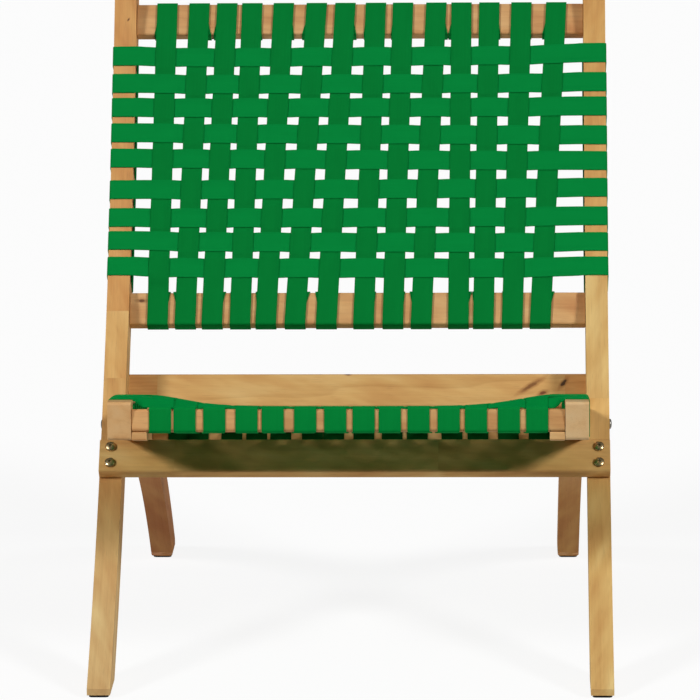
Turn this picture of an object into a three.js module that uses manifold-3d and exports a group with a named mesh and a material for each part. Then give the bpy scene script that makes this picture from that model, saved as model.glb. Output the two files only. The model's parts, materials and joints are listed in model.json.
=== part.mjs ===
// A low folding lounge chair in oiled hardwood with a woven webbing seat and back.
// Two bent stiles carry the back and stand in front as legs. Two bent rails carry the seat, pass between
// the stiles and stand behind as legs. One bolt on each side lets the two frames fold like a pair of scissors.
// Millimetres, +Z up, +X to the sitter's left, the sitter faces -Y, feet on z = 0.
import * as THREE from 'three';
import { mergeVertices } from 'three/addons/utils/BufferGeometryUtils.js';
import Module from 'manifold-3d';

const wasm = await Module();
wasm.setup();

// Whole chair
const chairWidth = 610;
const pivotHeight = 257;
const sideGap = 3; // stile to seat rail, filled by a washer at the pivot
const seatedGap = 0.3; // clearance between pieces that seat on each other
const cutOverrun = 2; // how far a cut runs past the face that it opens
const mergeDistance = 0.001; // mesh corners closer than this are one corner
const easedEdge = 2; // rounding along the edges of the bent members

// Stiles: back and front leg in one bent piece
const stileThickness = 27;
const stileDepth = 48;
const stileBendRadius = 1852;
const stileLeanAtPivot = 42.6; // degrees back from upright
const stileAbovePivot = 584; // along the bend, from the pivot to the upper end
const stileEndRadius = 9;

// Seat rails: seat side and rear leg in one bent piece
const seatRailThickness = 27;
const seatRailHeight = 44;
const seatRailBendRadius = 1315;
const seatRailSlopeAtPivot = 20.4; // degrees, falling to the rear
const seatRailAheadOfPivot = 343; // along the bend, from the pivot to the front end
const seatRailEndRadius = 4;
const pivotAboveRailCentre = 3;
const footCornerRadius = 6;
const footTipCut = 11; // taken off the foot's sharp tip
const footTipRadius = 3;

// Apron in front of the stiles and board behind them: both stop the seat rails when the chair is open
const boardHeight = 46;
const boardThickness = 16;
const boardEdge = 3;
const apronStopGap = 0.8; // between the apron's upper edge and the rails that rest on it
const rearBoardGap = 4.3; // between the rear board's lower edge and the rails that pass under it

// Back rails between the stiles
const backRailHeight = 42;
const backRailThickness = 16;
const backRailSetback = 13; // behind the stiles' front faces
const backTopRailAt = 543.5; // along the stile, from the pivot to the rail's middle
const backBottomRailAt = 156;

// Seat rails across
const crossRailHeight = 26;
const crossRailDepth = 20;
const crossRailDrop = 9.5; // below the upper faces of the side rails
const frontRailSetback = 2; // behind the front ends of the side rails
const rearRailBehindPivot = 28; // along the side rail, from the pivot to the rear rail's front face
const crossRailEdge = 4;

// Small blocks under the ends of the front rail, against the side rails
const cornerBlockStrapGap = 1.74; // from the outermost seat strap
const cornerBlockHeight = 9.5;
const cornerBlockDepth = 19;
const cornerBlockEdge = 1.5;
const cornerBlockSetback = 1; // behind the front rail's front face

// Tenons that join every cross rail to its side members
const tenonLength = 14;
const tenonHeight = 16;
const tenonThickness = 9;

// Button-head bolts of the apron and the rear board
const boltDiameter = 6;
const boltLength = 42;
const boltHeadDiameter = 12.8;
const boltHeadHeight = 3.4;
const boltSocket = 4; // across the flats
const boltSocketDepth = 2;
const boltSpacing = 23;
const boltDomeWidthShare = 0.36; // where the head's dome bends, as shares of its diameter and height
const boltDomeHeightShare = 0.88;

// Pivot bolts, washers and nuts
const pivotBoltDiameter = 7;
const pivotHeadDiameter = 12;
const pivotHeadHeight = 3;
const pivotWasherDiameter = 20;
const pivotNutAcrossFlats = 11;
const pivotNutHeight = 6;
const pivotNutRecess = 4; // depth of the counterbore that holds part of the nut
const pivotNutRecessDiameter = 17;
const boltStickOut = 1.5; // thread past the nut

// Glides under the four feet
const glideThickness = 3;
const glideInset = 2;
const glideCornerRadius = 4;

// Webbing
const webbingWidth = 25.4;
const webbingThickness = 1;
const webbingTailStop = 2; // a long strap goes right round its rail and ends this far below the sitter's side
const backSideTail = 30; // a cross strap's end on a stile's inner face, from the stile's rear edge
const seatSideTail = 38; // the same on a seat rail's inner face, from its lower edge
const weaveBiteShare = 0.05; // of the webbing's thickness, by which a strap bonds with one that it passes over
const weaveFlatMargin = 1; // how far a crossing strap stays flat past each edge of the strap that it crosses
const weaveClearShare = 0.1; // of that thickness, left free under a strap that it passes

// Where the straps lie. Back straps run up and down between the two back rails, seat straps front to back.
// Shares of half the clear width between the side members, from the chair's right to its left.
const backStrapTopShares = [
  -0.864, -0.721, -0.597, -0.484, -0.344, -0.197, -0.068, 0.07, 0.192, 0.34, 0.455, 0.579, 0.722, 0.876,
];
const backStrapBottomShares = [
  -0.875, -0.753, -0.635, -0.512, -0.398, -0.269, -0.132, 0.03, 0.158, 0.283, 0.444, 0.554, 0.681, 0.805,
];
const seatStrapFrontShares = [
  -0.866, -0.753, -0.616, -0.468, -0.347, -0.198, -0.06, 0.071, 0.192, 0.324, 0.463, 0.589, 0.74, 0.87,
];
const seatStrapRearShares = [
  -0.88, -0.76, -0.621, -0.486, -0.363, -0.23, -0.1, 0.03, 0.168, 0.309, 0.452, 0.6, 0.745, 0.88,
];
// Shares of the way along the side member, from the lower back rail to the upper one, at each side.
const backCrossShares = [
  [0.131, 0.129],
  [0.222, 0.215],
  [0.303, 0.306],
  [0.401, 0.406],
  [0.512, 0.499],
  [0.6, 0.589],
  [0.688, 0.689],
  [0.771, 0.773],
  [0.865, 0.873],
];
// Shares of the way along the side rail, from the pivot to its front end, at each side.
const seatCrossShares = [
  [0.268, 0.27],
  [0.371, 0.369],
  [0.473, 0.475],
  [0.576, 0.574],
  [0.677, 0.679],
  [0.779, 0.777],
  [0.88, 0.882],
];

// Sizes that follow
const degree = Math.PI / 180;
const halfWidth = chairWidth / 2;
const stileInnerFace = halfWidth - stileThickness;
const stileMiddle = halfWidth - stileThickness / 2;
const seatRailOuterFace = stileInnerFace - sideGap;
const seatRailMiddle = seatRailOuterFace - seatRailThickness / 2;
const seatRailInnerFace = seatRailOuterFace - seatRailThickness;
const outermostStrapShare = Math.max(...seatStrapFrontShares.map(Math.abs));
const cornerBlockWidth =
  seatRailInnerFace * (1 - outermostStrapShare) - webbingWidth / 2 - cornerBlockStrapGap - seatedGap;
const footHeight = glideThickness + seatedGap;
const roundSides = 16;
const cornerSegments = 3;
const bendSegments = 22;
const mix = (a, b, share) => a + (b - a) * share;

// The bent members' centre lines are arcs, traced counter-clockwise in the side view (Y across, Z up).
// "outward" is away from the arc's centre: rearward on a stile, upward on a seat rail.
function makeArc(pivotAngle, radius, pivotOutward) {
  const y = -(radius + pivotOutward) * Math.cos(pivotAngle);
  const z = pivotHeight - (radius + pivotOutward) * Math.sin(pivotAngle);
  const angleAt = (along) => pivotAngle + along / radius;
  const at = (along, outward) => {
    const angle = angleAt(along);
    const reach = radius + outward;
    return new THREE.Vector2(y + reach * Math.cos(angle), z + reach * Math.sin(angle));
  };
  const directionAt = (along) => new THREE.Vector2(-Math.sin(angleAt(along)), Math.cos(angleAt(along)));
  return { y, z, radius, angleAt, at, directionAt };
}

const stileArc = makeArc(-stileLeanAtPivot * degree, stileBendRadius, 0);
const seatRailArc = makeArc((90 - seatRailSlopeAtPivot) * degree, seatRailBendRadius, pivotAboveRailCentre);

// Outline of a bent member: cut level at the foot, square at the far end, corners rounded. The foot's sharp
// tip, on the side that "tip" names, is cut off upright.
function bentOutline(arc, depth, reach, endRadius, tip) {
  const inner = arc.radius - depth / 2;
  const outer = arc.radius + depth / 2;
  const point = (radius, angle) =>
    new THREE.Vector2(arc.y + radius * Math.cos(angle), arc.z + radius * Math.sin(angle));
  const footAngle = (radius) => Math.asin((footHeight - arc.z) / radius);
  const corner = (from, peak, to) => new THREE.QuadraticBezierCurve(from, peak, to).getPoints(cornerSegments);
  const bendSteps = Array.from({ length: bendSegments - 1 }, (_, step) => (step + 1) / bendSegments);
  const sweep = (radius, from, to) => bendSteps.map((share) => point(radius, mix(from, to, share)));
  // One side of the foot, from its underside to where the bend starts
  const footSide = (radius, inward, sharp) => {
    const foot = point(radius, footAngle(radius));
    if (!sharp) {
      const start = footAngle(radius) + footCornerRadius / radius;
      const under = new THREE.Vector2(foot.x + inward * footCornerRadius, foot.y);
      return { start, points: corner(under, foot, point(radius, start)) };
    }
    const nose = foot.x + inward * footTipCut;
    const noseAngle = Math.sign(footAngle(radius)) * Math.acos((nose - arc.y) / radius);
    const noseTop = point(radius, noseAngle);
    const start = noseAngle + footTipRadius / radius;
    const under = new THREE.Vector2(nose + inward * footTipRadius, foot.y);
    const below = new THREE.Vector2(nose, foot.y);
    const above = new THREE.Vector2(nose, foot.y + footTipRadius);
    const neck = new THREE.Vector2(nose, noseTop.y - footTipRadius);
    return { start, points: [...corner(under, below, above), ...corner(neck, noseTop, point(radius, start))] };
  };
  const innerFoot = footSide(inner, 1, tip === 'inner');
  const outerFoot = footSide(outer, -1, tip === 'outer');
  const endAngle = arc.angleAt(reach);
  const innerEnd = endAngle - endRadius / inner;
  const outerEnd = endAngle - endRadius / outer;
  return new THREE.Shape([
    ...innerFoot.points,
    ...sweep(inner, innerFoot.start, innerEnd),
    ...corner(point(inner, innerEnd), point(inner, endAngle), point(inner + endRadius, endAngle)),
    ...corner(point(outer - endRadius, endAngle), point(outer, endAngle), point(outer, outerEnd)),
    ...sweep(outer, outerEnd, outerFoot.start),
    ...outerFoot.points.reverse(),
  ]);
}

function roundedRectangle(width, height, radius) {
  const x = width / 2;
  const y = height / 2;
  const shape = new THREE.Shape();
  shape.moveTo(-x + radius, -y);
  shape.lineTo(x - radius, -y);
  shape.quadraticCurveTo(x, -y, x, -y + radius);
  shape.lineTo(x, y - radius);
  shape.quadraticCurveTo(x, y, x - radius, y);
  shape.lineTo(-x + radius, y);
  shape.quadraticCurveTo(-x, y, -x, y - radius);
  shape.lineTo(-x, -y + radius);
  shape.quadraticCurveTo(-x, -y, -x + radius, -y);
  return shape;
}

// An outline drawn in the side view, made thick along X and centred on x
const sideView = new THREE.Matrix4().makeBasis(
  new THREE.Vector3(0, 1, 0),
  new THREE.Vector3(0, 0, 1),
  new THREE.Vector3(1, 0, 0),
);
function extrudeAcross(shape, thickness, edge, curveSegments, x = 0) {
  const depth = thickness - 2 * edge;
  const geometry = new THREE.ExtrudeGeometry(shape, {
    depth,
    curveSegments,
    bevelEnabled: edge > 0,
    bevelThickness: edge,
    bevelSize: edge,
    bevelOffset: -edge,
    bevelSegments: 1,
  });
  geometry.translate(0, 0, -depth / 2);
  geometry.applyMatrix4(sideView);
  geometry.translate(x, 0, 0);
  return geometry;
}

// Joining and cutting of closed meshes
function toSolid(geometry) {
  const bare = geometry.index ? geometry.toNonIndexed() : geometry.clone();
  bare.deleteAttribute('normal');
  bare.deleteAttribute('uv');
  const merged = mergeVertices(bare, mergeDistance);
  const triangles = [];
  for (let i = 0; i < merged.index.count; i += 3) {
    const [a, b, c] = [0, 1, 2].map((corner) => merged.index.getX(i + corner));
    if (a !== b && b !== c && a !== c) triangles.push(a, b, c);
  }
  return new wasm.Manifold(
    new wasm.Mesh({
      numProp: 3,
      vertProperties: new Float32Array(merged.attributes.position.array),
      triVerts: new Uint32Array(triangles),
    }),
  );
}
function toGeometry(solid) {
  const mesh = solid.getMesh();
  const geometry = new THREE.BufferGeometry();
  geometry.setAttribute('position', new THREE.BufferAttribute(new Float32Array(mesh.vertProperties), 3));
  geometry.setIndex(new THREE.BufferAttribute(new Uint32Array(mesh.triVerts), 1));
  geometry.computeVertexNormals();
  return geometry;
}
const join = (geometries) => geometries.map(toSolid).reduce((whole, next) => whole.add(next));
const carve = (body, cutters) =>
  toGeometry(cutters.map(toSolid).reduce((left, next) => left.subtract(next), body));

// A place in the side view: the piece's +Z points along "upward" and its +Y a quarter turn clockwise from it
function placeInSideView(point, turn) {
  return new THREE.Matrix4()
    .makeTranslation(0, point.x, point.y)
    .multiply(new THREE.Matrix4().makeRotationX(-turn));
}

// Places of the stop boards, found so that their rounded edges meet the seat rails
const cornerFrom = (along, outward) => stileArc.at(along, outward);
function slideUntil(distanceLeft, from, to) {
  let low = from;
  let high = to;
  for (let step = 0; step < 60; step += 1) {
    const middle = (low + high) / 2;
    if (distanceLeft(middle) > 0 === distanceLeft(low) > 0) low = middle;
    else high = middle;
  }
  return (low + high) / 2;
}
const railCentre = new THREE.Vector2(seatRailArc.y, seatRailArc.z);
const railUnderside = seatRailBendRadius - seatRailHeight / 2;
const railTop = seatRailBendRadius + seatRailHeight / 2;
const boardFront = -stileDepth / 2 - seatedGap - boardThickness;
const boardBack = stileDepth / 2 + seatedGap + boardThickness;
const apronCornerReach = railUnderside - boardEdge - apronStopGap;
const rearBoardCornerReach = railTop + boardEdge + rearBoardGap;
const apronTopAt = slideUntil(
  (along) => apronCornerReach - cornerFrom(along - boardEdge, boardFront + boardEdge).distanceTo(railCentre),
  -stileAbovePivot / 4,
  0,
);
const rearBoardBottomAt = slideUntil(
  (along) => cornerFrom(along + boardEdge, boardBack - boardEdge).distanceTo(railCentre) - rearBoardCornerReach,
  0,
  stileAbovePivot / 4,
);
const apronAt = apronTopAt - boardHeight / 2;
const rearBoardAt = rearBoardBottomAt + boardHeight / 2;
const leanAt = (along) => -stileArc.angleAt(along);

// A webbing panel's straps run between two cross rails. Its frame is the chord through the rails' middles:
// "along" from the first rail to the second, "up" towards the sitter.
function makeChord(first, second, sitterSide) {
  const along = second.clone().sub(first).normalize();
  const up = new THREE.Vector2(-along.y, along.x).multiplyScalar(sitterSide);
  const at = (distance, height) =>
    first.clone().addScaledVector(along, distance).addScaledVector(up, height);
  return { first, along, up, length: first.distanceTo(second), at };
}

// Back: rails set behind the stiles' front faces, turned to the chord so that the webbing lies flat on both
const backRailOutward = -stileDepth / 2 + backRailSetback + backRailThickness / 2;
const backChord = makeChord(
  stileArc.at(backBottomRailAt, backRailOutward),
  stileArc.at(backTopRailAt, backRailOutward),
  1,
);
const backLean = Math.atan2(backChord.along.x, backChord.along.y);

// Seat: the rear rail lies behind the pivot, the front rail just behind the side rails' front ends
const crossRailOutward = seatRailHeight / 2 - crossRailDrop - crossRailHeight / 2;
const seatChord = makeChord(
  seatRailArc.at(-rearRailBehindPivot - crossRailDepth / 2, crossRailOutward),
  seatRailArc.at(seatRailAheadOfPivot - frontRailSetback - crossRailDepth / 2, crossRailOutward),
  -1,
);
const seatSlope = Math.atan2(seatChord.along.y, -seatChord.along.x);

// Cross rails: a board with one tenon bar right through it, whose ends seat in the side members
function crossRail(length, depth, height, edge) {
  const board = extrudeAcross(roundedRectangle(depth, height, edge), length, easedEdge / 2, 3);
  const tenon = extrudeAcross(
    roundedRectangle(Math.min(tenonThickness, depth), tenonHeight, easedEdge),
    length + 2 * tenonLength,
    0,
    2,
  );
  return join([board, tenon]);
}
function mortise(side, faceX, place) {
  const depth = tenonLength + 2 * seatedGap + cutOverrun;
  const shape = roundedRectangle(tenonThickness + 2 * seatedGap, tenonHeight + 2 * seatedGap, easedEdge);
  const pocket = extrudeAcross(shape, depth, 0, 2);
  pocket.applyMatrix4(place);
  pocket.translate(side * (faceX + depth / 2 - cutOverrun), 0, 0);
  return pocket;
}
const chordEnds = (chord, turn) =>
  [0, chord.length].map((distance) => placeInSideView(chord.at(distance, 0), turn));
const backRailPlaces = chordEnds(backChord, backLean);
const seatRailPlaces = chordEnds(seatChord, seatSlope);

// A round hole along X, or square to a stile's faces
function holeAcross(diameter, length, x, point) {
  const hole = new THREE.CylinderGeometry(diameter / 2, diameter / 2, length, roundSides);
  hole.rotateZ(Math.PI / 2);
  hole.translate(x, point.x, point.y);
  return hole;
}
function holeThroughDepth(diameter, x, along, fromOutward, toOutward) {
  const length = Math.abs(toOutward - fromOutward);
  const hole = new THREE.CylinderGeometry(diameter / 2, diameter / 2, length, roundSides);
  hole.translate(0, (fromOutward + toOutward) / 2, 0);
  hole.applyMatrix4(placeInSideView(stileArc.at(along, 0), leanAt(along)));
  hole.translate(x, 0, 0);
  return hole;
}
const boltHole = boltDiameter + 2 * seatedGap;
const boltPlaces = [-boltSpacing / 2, boltSpacing / 2];

function stileGeometry(side) {
  const outline = bentOutline(stileArc, stileDepth, stileAbovePivot, stileEndRadius, 'inner');
  const body = toSolid(extrudeAcross(outline, stileThickness, easedEdge, 1, side * stileMiddle));
  const reach = boltLength - boardThickness + seatedGap;
  const face = stileDepth / 2;
  const apronHoles = boltPlaces.map((place) =>
    holeThroughDepth(boltHole, side * stileMiddle, apronAt + place, -face - cutOverrun, -face + reach),
  );
  const boardHoles = boltPlaces.map((place) =>
    holeThroughDepth(boltHole, side * stileMiddle, rearBoardAt + place, face + cutOverrun, face - reach),
  );
  const pivotHole = holeAcross(
    pivotBoltDiameter + 2 * seatedGap,
    stileThickness + 2 * cutOverrun,
    side * stileMiddle,
    new THREE.Vector2(0, pivotHeight),
  );
  const mortises = backRailPlaces.map((place) => mortise(side, stileInnerFace, place));
  return carve(body, [pivotHole, ...apronHoles, ...boardHoles, ...mortises]);
}

function seatRailGeometry(side) {
  const outline = bentOutline(seatRailArc, seatRailHeight, seatRailAheadOfPivot, seatRailEndRadius, 'outer');
  const body = toSolid(extrudeAcross(outline, seatRailThickness, easedEdge, 1, side * seatRailMiddle));
  const pivot = new THREE.Vector2(0, pivotHeight);
  const pivotHole = holeAcross(
    pivotBoltDiameter + 2 * seatedGap,
    seatRailThickness + 2 * cutOverrun,
    side * seatRailMiddle,
    pivot,
  );
  const recessLength = pivotNutRecess + cutOverrun;
  const nutRecess = holeAcross(
    pivotNutRecessDiameter,
    recessLength,
    side * (seatRailInnerFace + pivotNutRecess - recessLength / 2),
    pivot,
  );
  const mortises = seatRailPlaces.map((place) => mortise(side, seatRailInnerFace, place));
  return carve(body, [pivotHole, nutRecess, ...mortises]);
}

// Apron and rear board: bolted to the stiles' faces, as wide as the chair
function boardGeometry(along, outward, fromOutward, toOutward) {
  const section = roundedRectangle(boardThickness, boardHeight, boardEdge);
  const board = extrudeAcross(section, chairWidth, easedEdge / 2, 3);
  board.applyMatrix4(placeInSideView(stileArc.at(along, outward), leanAt(along)));
  const hole = (side, place) =>
    holeThroughDepth(boltHole, side * stileMiddle, along + place, fromOutward, toOutward);
  const holes = [-1, 1].flatMap((side) => boltPlaces.map((place) => hole(side, place)));
  return carve(toSolid(board), holes);
}
const boardOutward = stileDepth / 2 + seatedGap + boardThickness / 2;

// A button-head bolt along +Y: its head's underside at the origin, its shank towards -Y
function boltGeometry(diameter, length, headDiameter, headHeight) {
  const rim = headHeight / 3;
  const dome = new THREE.Vector2(headDiameter * boltDomeWidthShare, headHeight * boltDomeHeightShare);
  const profile = [
    [0, -length],
    [diameter / 2, -length],
    [diameter / 2, 0],
    [headDiameter / 2, 0],
    [headDiameter / 2, rim],
    [dome.x, dome.y],
    [0, headHeight],
  ].map(([x, y]) => new THREE.Vector2(x, y));
  const bolt = new THREE.LatheGeometry(profile, roundSides);
  const socketRadius = boltSocket / Math.sqrt(3);
  const socket = new THREE.CylinderGeometry(socketRadius, socketRadius, boltSocketDepth + cutOverrun, 6);
  socket.translate(0, headHeight - boltSocketDepth + (boltSocketDepth + cutOverrun) / 2, 0);
  return carve(toSolid(bolt), [socket]);
}

// A flat ring around X
function ringGeometry(innerDiameter, outerDiameter, thickness, sides) {
  const profile = [
    [innerDiameter / 2, -thickness / 2],
    [outerDiameter / 2, -thickness / 2],
    [outerDiameter / 2, thickness / 2],
    [innerDiameter / 2, thickness / 2],
    [innerDiameter / 2, -thickness / 2],
  ].map(([x, y]) => new THREE.Vector2(x, y));
  const ring = new THREE.LatheGeometry(profile, sides);
  ring.rotateZ(Math.PI / 2);
  return ring;
}

// A hexagonal nut around X, with a round hole
function nutGeometry(acrossFlats, height, holeDiameter) {
  const radius = acrossFlats / Math.sqrt(3);
  const hexagon = new THREE.CylinderGeometry(radius, radius, height, 6);
  hexagon.rotateZ(Math.PI / 2);
  const hole = holeAcross(holeDiameter, height + 2 * cutOverrun, 0, new THREE.Vector2(0, 0));
  return carve(toSolid(hexagon), [hole]);
}

// A glide pad under a foot, as long as the foot's flat underside
function glideGeometry(arc, depth, thickness, tip) {
  const reach = (radius) => arc.y + Math.sqrt(radius ** 2 - (footHeight - arc.z) ** 2);
  const trim = (side) => (side === tip ? footTipCut + footTipRadius : footCornerRadius);
  const front = reach(arc.radius - depth / 2) + trim('inner');
  const back = reach(arc.radius + depth / 2) - trim('outer');
  const pad = new THREE.ExtrudeGeometry(
    roundedRectangle(thickness - 2 * glideInset, back - front, glideCornerRadius),
    { depth: glideThickness, curveSegments: cornerSegments, bevelEnabled: false },
  );
  pad.translate(0, (front + back) / 2, 0);
  return pad;
}

// A flat strap: a rectangular section carried along stations, each with its middle and its direction across.
// Corners are mitred, so the strap keeps its thickness round them.
function strapGeometry(stations) {
  const positions = [];
  const faces = [];
  stations.forEach((station, index) => {
    const before = stations[Math.max(index - 1, 0)].middle;
    const after = stations[Math.min(index + 1, stations.length - 1)].middle;
    const arriving = station.middle.clone().sub(before);
    const leaving = after.clone().sub(station.middle);
    const normals = [arriving, leaving]
      .filter((direction) => direction.lengthSq() > 0)
      .map((direction) => direction.normalize().cross(station.across).normalize());
    const mitre = normals.length === 1 ? normals[0].clone() : normals[0].clone().add(normals[1]);
    if (normals.length === 2) mitre.divideScalar(1 + normals[0].dot(normals[1]));
    mitre.multiplyScalar(webbingThickness / 2);
    const half = station.across.clone().multiplyScalar(webbingWidth / 2);
    for (const [side, face] of [[-1, -1], [1, -1], [1, 1], [-1, 1]]) {
      const corner = station.middle.clone().addScaledVector(half, side).addScaledVector(mitre, face);
      positions.push(corner.x, corner.y, corner.z);
    }
  });
  const last = 4 * (stations.length - 1);
  faces.push(0, 1, 2, 0, 2, 3, last, last + 2, last + 1, last, last + 3, last + 2);
  for (let ring = 0; ring < last; ring += 4) {
    for (let edge = 0; edge < 4; edge += 1) {
      const a = ring + edge;
      const b = ring + ((edge + 1) % 4);
      faces.push(a, a + 4, b + 4, a, b + 4, b);
    }
  }
  const geometry = new THREE.BufferGeometry();
  geometry.setAttribute('position', new THREE.Float32BufferAttribute(positions, 3));
  geometry.setIndex(faces);
  const solid = toSolid(geometry);
  return solid.volume() > 0 ? solid : toSolid(flipped(geometry));
}
function flipped(geometry) {
  const turned = geometry.clone();
  const index = turned.index.array;
  for (let i = 0; i < index.length; i += 3) [index[i], index[i + 1]] = [index[i + 1], index[i]];
  return turned;
}

const at3 = (x, point) => new THREE.Vector3(x, point.x, point.y);
const strapLift = seatedGap + webbingThickness / 2; // from the wood to the middle of the strap

// A long strap's path, as distances from the first rail and heights towards the sitter: round one rail, along
// the sitter's side of the panel and round the other rail.
function longPath(length, outer, sitterFace, farFace, end) {
  return [
    [outer, end],
    [outer, farFace],
    [-outer, farFace],
    [-outer, sitterFace],
    [length + outer, sitterFace],
    [length + outer, farFace],
    [length - outer, farFace],
    [length - outer, end],
  ];
}

// One panel of webbing: long straps lie flat between the two rails, cross straps weave over and under them
// and wrap the side members. All of them bond where they cross.
function webbingGeometry(panel) {
  const { chord, railDepth, railHeight, clearHalf, outerHalf, firstShares, secondShares, crossShares } = panel;
  const half = railDepth / 2;
  const outer = railHeight / 2 + strapLift;
  const inwardFace = -half - strapLift;
  const strapX = (index, share) => clearHalf * mix(firstShares[index], secondShares[index], share);
  const longStrap = (index) => {
    const heights = [half + strapLift, inwardFace, half - webbingTailStop];
    const stations = longPath(chord.length, outer, ...heights).map(([distance, height]) => ({
      middle: at3(strapX(index, distance / chord.length), chord.at(distance, height)),
      across: new THREE.Vector3(1, 0, 0),
    }));
    return strapGeometry(stations);
  };
  const crossStrap = (rowIndex) => {
    const [rightShare, leftShare] = crossShares[rowIndex];
    const shareAt = (x) => mix(rightShare, leftShare, (x + outerHalf) / (2 * outerHalf));
    const sideAt = (x, height) => panel.sideAt(shareAt(x), height);
    const sideAcross = (x) => {
      const step = sideAt(x, 0).direction;
      return new THREE.Vector3(0, step.x, step.y);
    };
    const sideHalf = panel.sideDepth / 2 + strapLift;
    const outerX = outerHalf + strapLift;
    const sideStation = (x, height) => ({ middle: at3(x, sideAt(x, height).point), across: sideAcross(x) });
    const wrap = (side) => [
      sideStation(side * (clearHalf - strapLift), panel.sideTail - panel.sideDepth / 2),
      sideStation(side * (clearHalf - strapLift), -sideHalf),
      sideStation(side * outerX, -sideHalf),
      sideStation(side * outerX, sideHalf),
      sideStation(side * clearHalf, sideHalf),
    ];
    const middle = firstShares.flatMap((_, index) => {
      const base = sideAt(strapX(index, 0.5), 0).point;
      const distance = base.clone().sub(chord.first).dot(chord.along);
      const x = strapX(index, distance / chord.length);
      const over = (rowIndex + index + panel.firstOver) % 2 === 0;
      const bonds = over || rowIndex === 0;
      const weave = webbingThickness * (bonds ? 1 - weaveBiteShare : 1 + weaveClearShare) * (over ? 1 : -1);
      const height = half + strapLift + weave;
      return [-1, 1].map((edge) => ({
        middle: at3(x + edge * (webbingWidth / 2 + weaveFlatMargin), chord.at(distance, height)),
        across: new THREE.Vector3(0, chord.along.x, chord.along.y),
      }));
    });
    return strapGeometry([...wrap(-1), ...middle, ...wrap(1).reverse()]);
  };
  const straps = [...firstShares.map((_, i) => longStrap(i)), ...crossShares.map((_, i) => crossStrap(i))];
  return toGeometry(straps.reduce((whole, next) => whole.add(next)).simplify(mergeDistance));
}

const backPanel = {
  chord: backChord,
  railDepth: backRailThickness,
  railHeight: backRailHeight,
  clearHalf: stileInnerFace,
  outerHalf: halfWidth,
  sideDepth: stileDepth,
  sideTail: backSideTail,
  firstOver: 1,
  firstShares: backStrapBottomShares,
  secondShares: backStrapTopShares,
  crossShares: backCrossShares,
  sideAt: (share, height) => {
    const along = mix(backBottomRailAt, backTopRailAt, share);
    return { point: stileArc.at(along, -height), direction: stileArc.directionAt(along) };
  },
};

const seatPanel = {
  chord: seatChord,
  railDepth: crossRailHeight,
  railHeight: crossRailDepth,
  clearHalf: seatRailInnerFace,
  outerHalf: seatRailOuterFace,
  sideDepth: seatRailHeight,
  sideTail: seatSideTail,
  firstOver: 0,
  firstShares: seatStrapRearShares,
  secondShares: seatStrapFrontShares,
  crossShares: seatCrossShares,
  sideAt: (share, height) => {
    const along = seatRailAheadOfPivot * share;
    return { point: seatRailArc.at(along, height), direction: seatRailArc.directionAt(along) };
  },
};

// Materials
const timber = new THREE.MeshStandardMaterial({ color: 0xc79a5e, roughness: 0.55, metalness: 0 });
const paleTimber = new THREE.MeshStandardMaterial({ color: 0xd2ab74, roughness: 0.55, metalness: 0 });
const steel = new THREE.MeshStandardMaterial({ color: 0x9a978f, roughness: 0.3, metalness: 1 });
const blackPlastic = new THREE.MeshStandardMaterial({ color: 0x1b1b1c, roughness: 0.6, metalness: 0 });
const greenWebbing = new THREE.MeshStandardMaterial({ color: 0x00803a, roughness: 0.75, metalness: 0 });

// Assembly
const backFrame = new THREE.Group();
const seatFrame = new THREE.Group();
function addPiece(group, name, geometry, material, place) {
  const mesh = new THREE.Mesh(geometry, material);
  mesh.name = name;
  if (place) mesh.applyMatrix4(place);
  group.add(mesh);
  return mesh;
}

const sides = [
  ['right', -1],
  ['left', 1],
];
for (const [name, side] of sides) {
  addPiece(backFrame, `stile_${name}`, stileGeometry(side), timber);
  addPiece(seatFrame, `seat_rail_${name}`, seatRailGeometry(side), paleTimber);
}

const backRailLength = 2 * (stileInnerFace - seatedGap);
const seatCrossLength = 2 * (seatRailInnerFace - seatedGap);
const backRail = () => toGeometry(crossRail(backRailLength, backRailThickness, backRailHeight, boardEdge));
const seatCross = () => toGeometry(crossRail(seatCrossLength, crossRailDepth, crossRailHeight, crossRailEdge));
addPiece(backFrame, 'back_bottom_rail', backRail(), timber, backRailPlaces[0]);
addPiece(backFrame, 'back_top_rail', backRail(), timber, backRailPlaces[1]);
addPiece(seatFrame, 'seat_rear_rail', seatCross(), paleTimber, seatRailPlaces[0]);
addPiece(seatFrame, 'seat_front_rail', seatCross(), paleTimber, seatRailPlaces[1]);
const cornerBlockPlace = placeInSideView(
  seatChord.at(
    seatChord.length + crossRailDepth / 2 - cornerBlockSetback - cornerBlockDepth / 2,
    -crossRailHeight / 2 - seatedGap - cornerBlockHeight / 2,
  ),
  seatSlope,
);
for (const [name, side] of sides) {
  const section = roundedRectangle(cornerBlockDepth, cornerBlockHeight, cornerBlockEdge);
  const block = extrudeAcross(section, cornerBlockWidth, cornerBlockEdge / 2, 2);
  block.applyMatrix4(cornerBlockPlace);
  block.translate(side * (seatRailInnerFace - seatedGap - cornerBlockWidth / 2), 0, 0);
  addPiece(seatFrame, `seat_corner_block_${name}`, block, paleTimber);
}

const faceOut = stileDepth / 2 + cutOverrun + boardThickness + seatedGap;
addPiece(backFrame, 'front_apron', boardGeometry(apronAt, -boardOutward, -faceOut, 0), timber);
addPiece(backFrame, 'rear_board', boardGeometry(rearBoardAt, boardOutward, faceOut, 0), timber);

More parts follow.
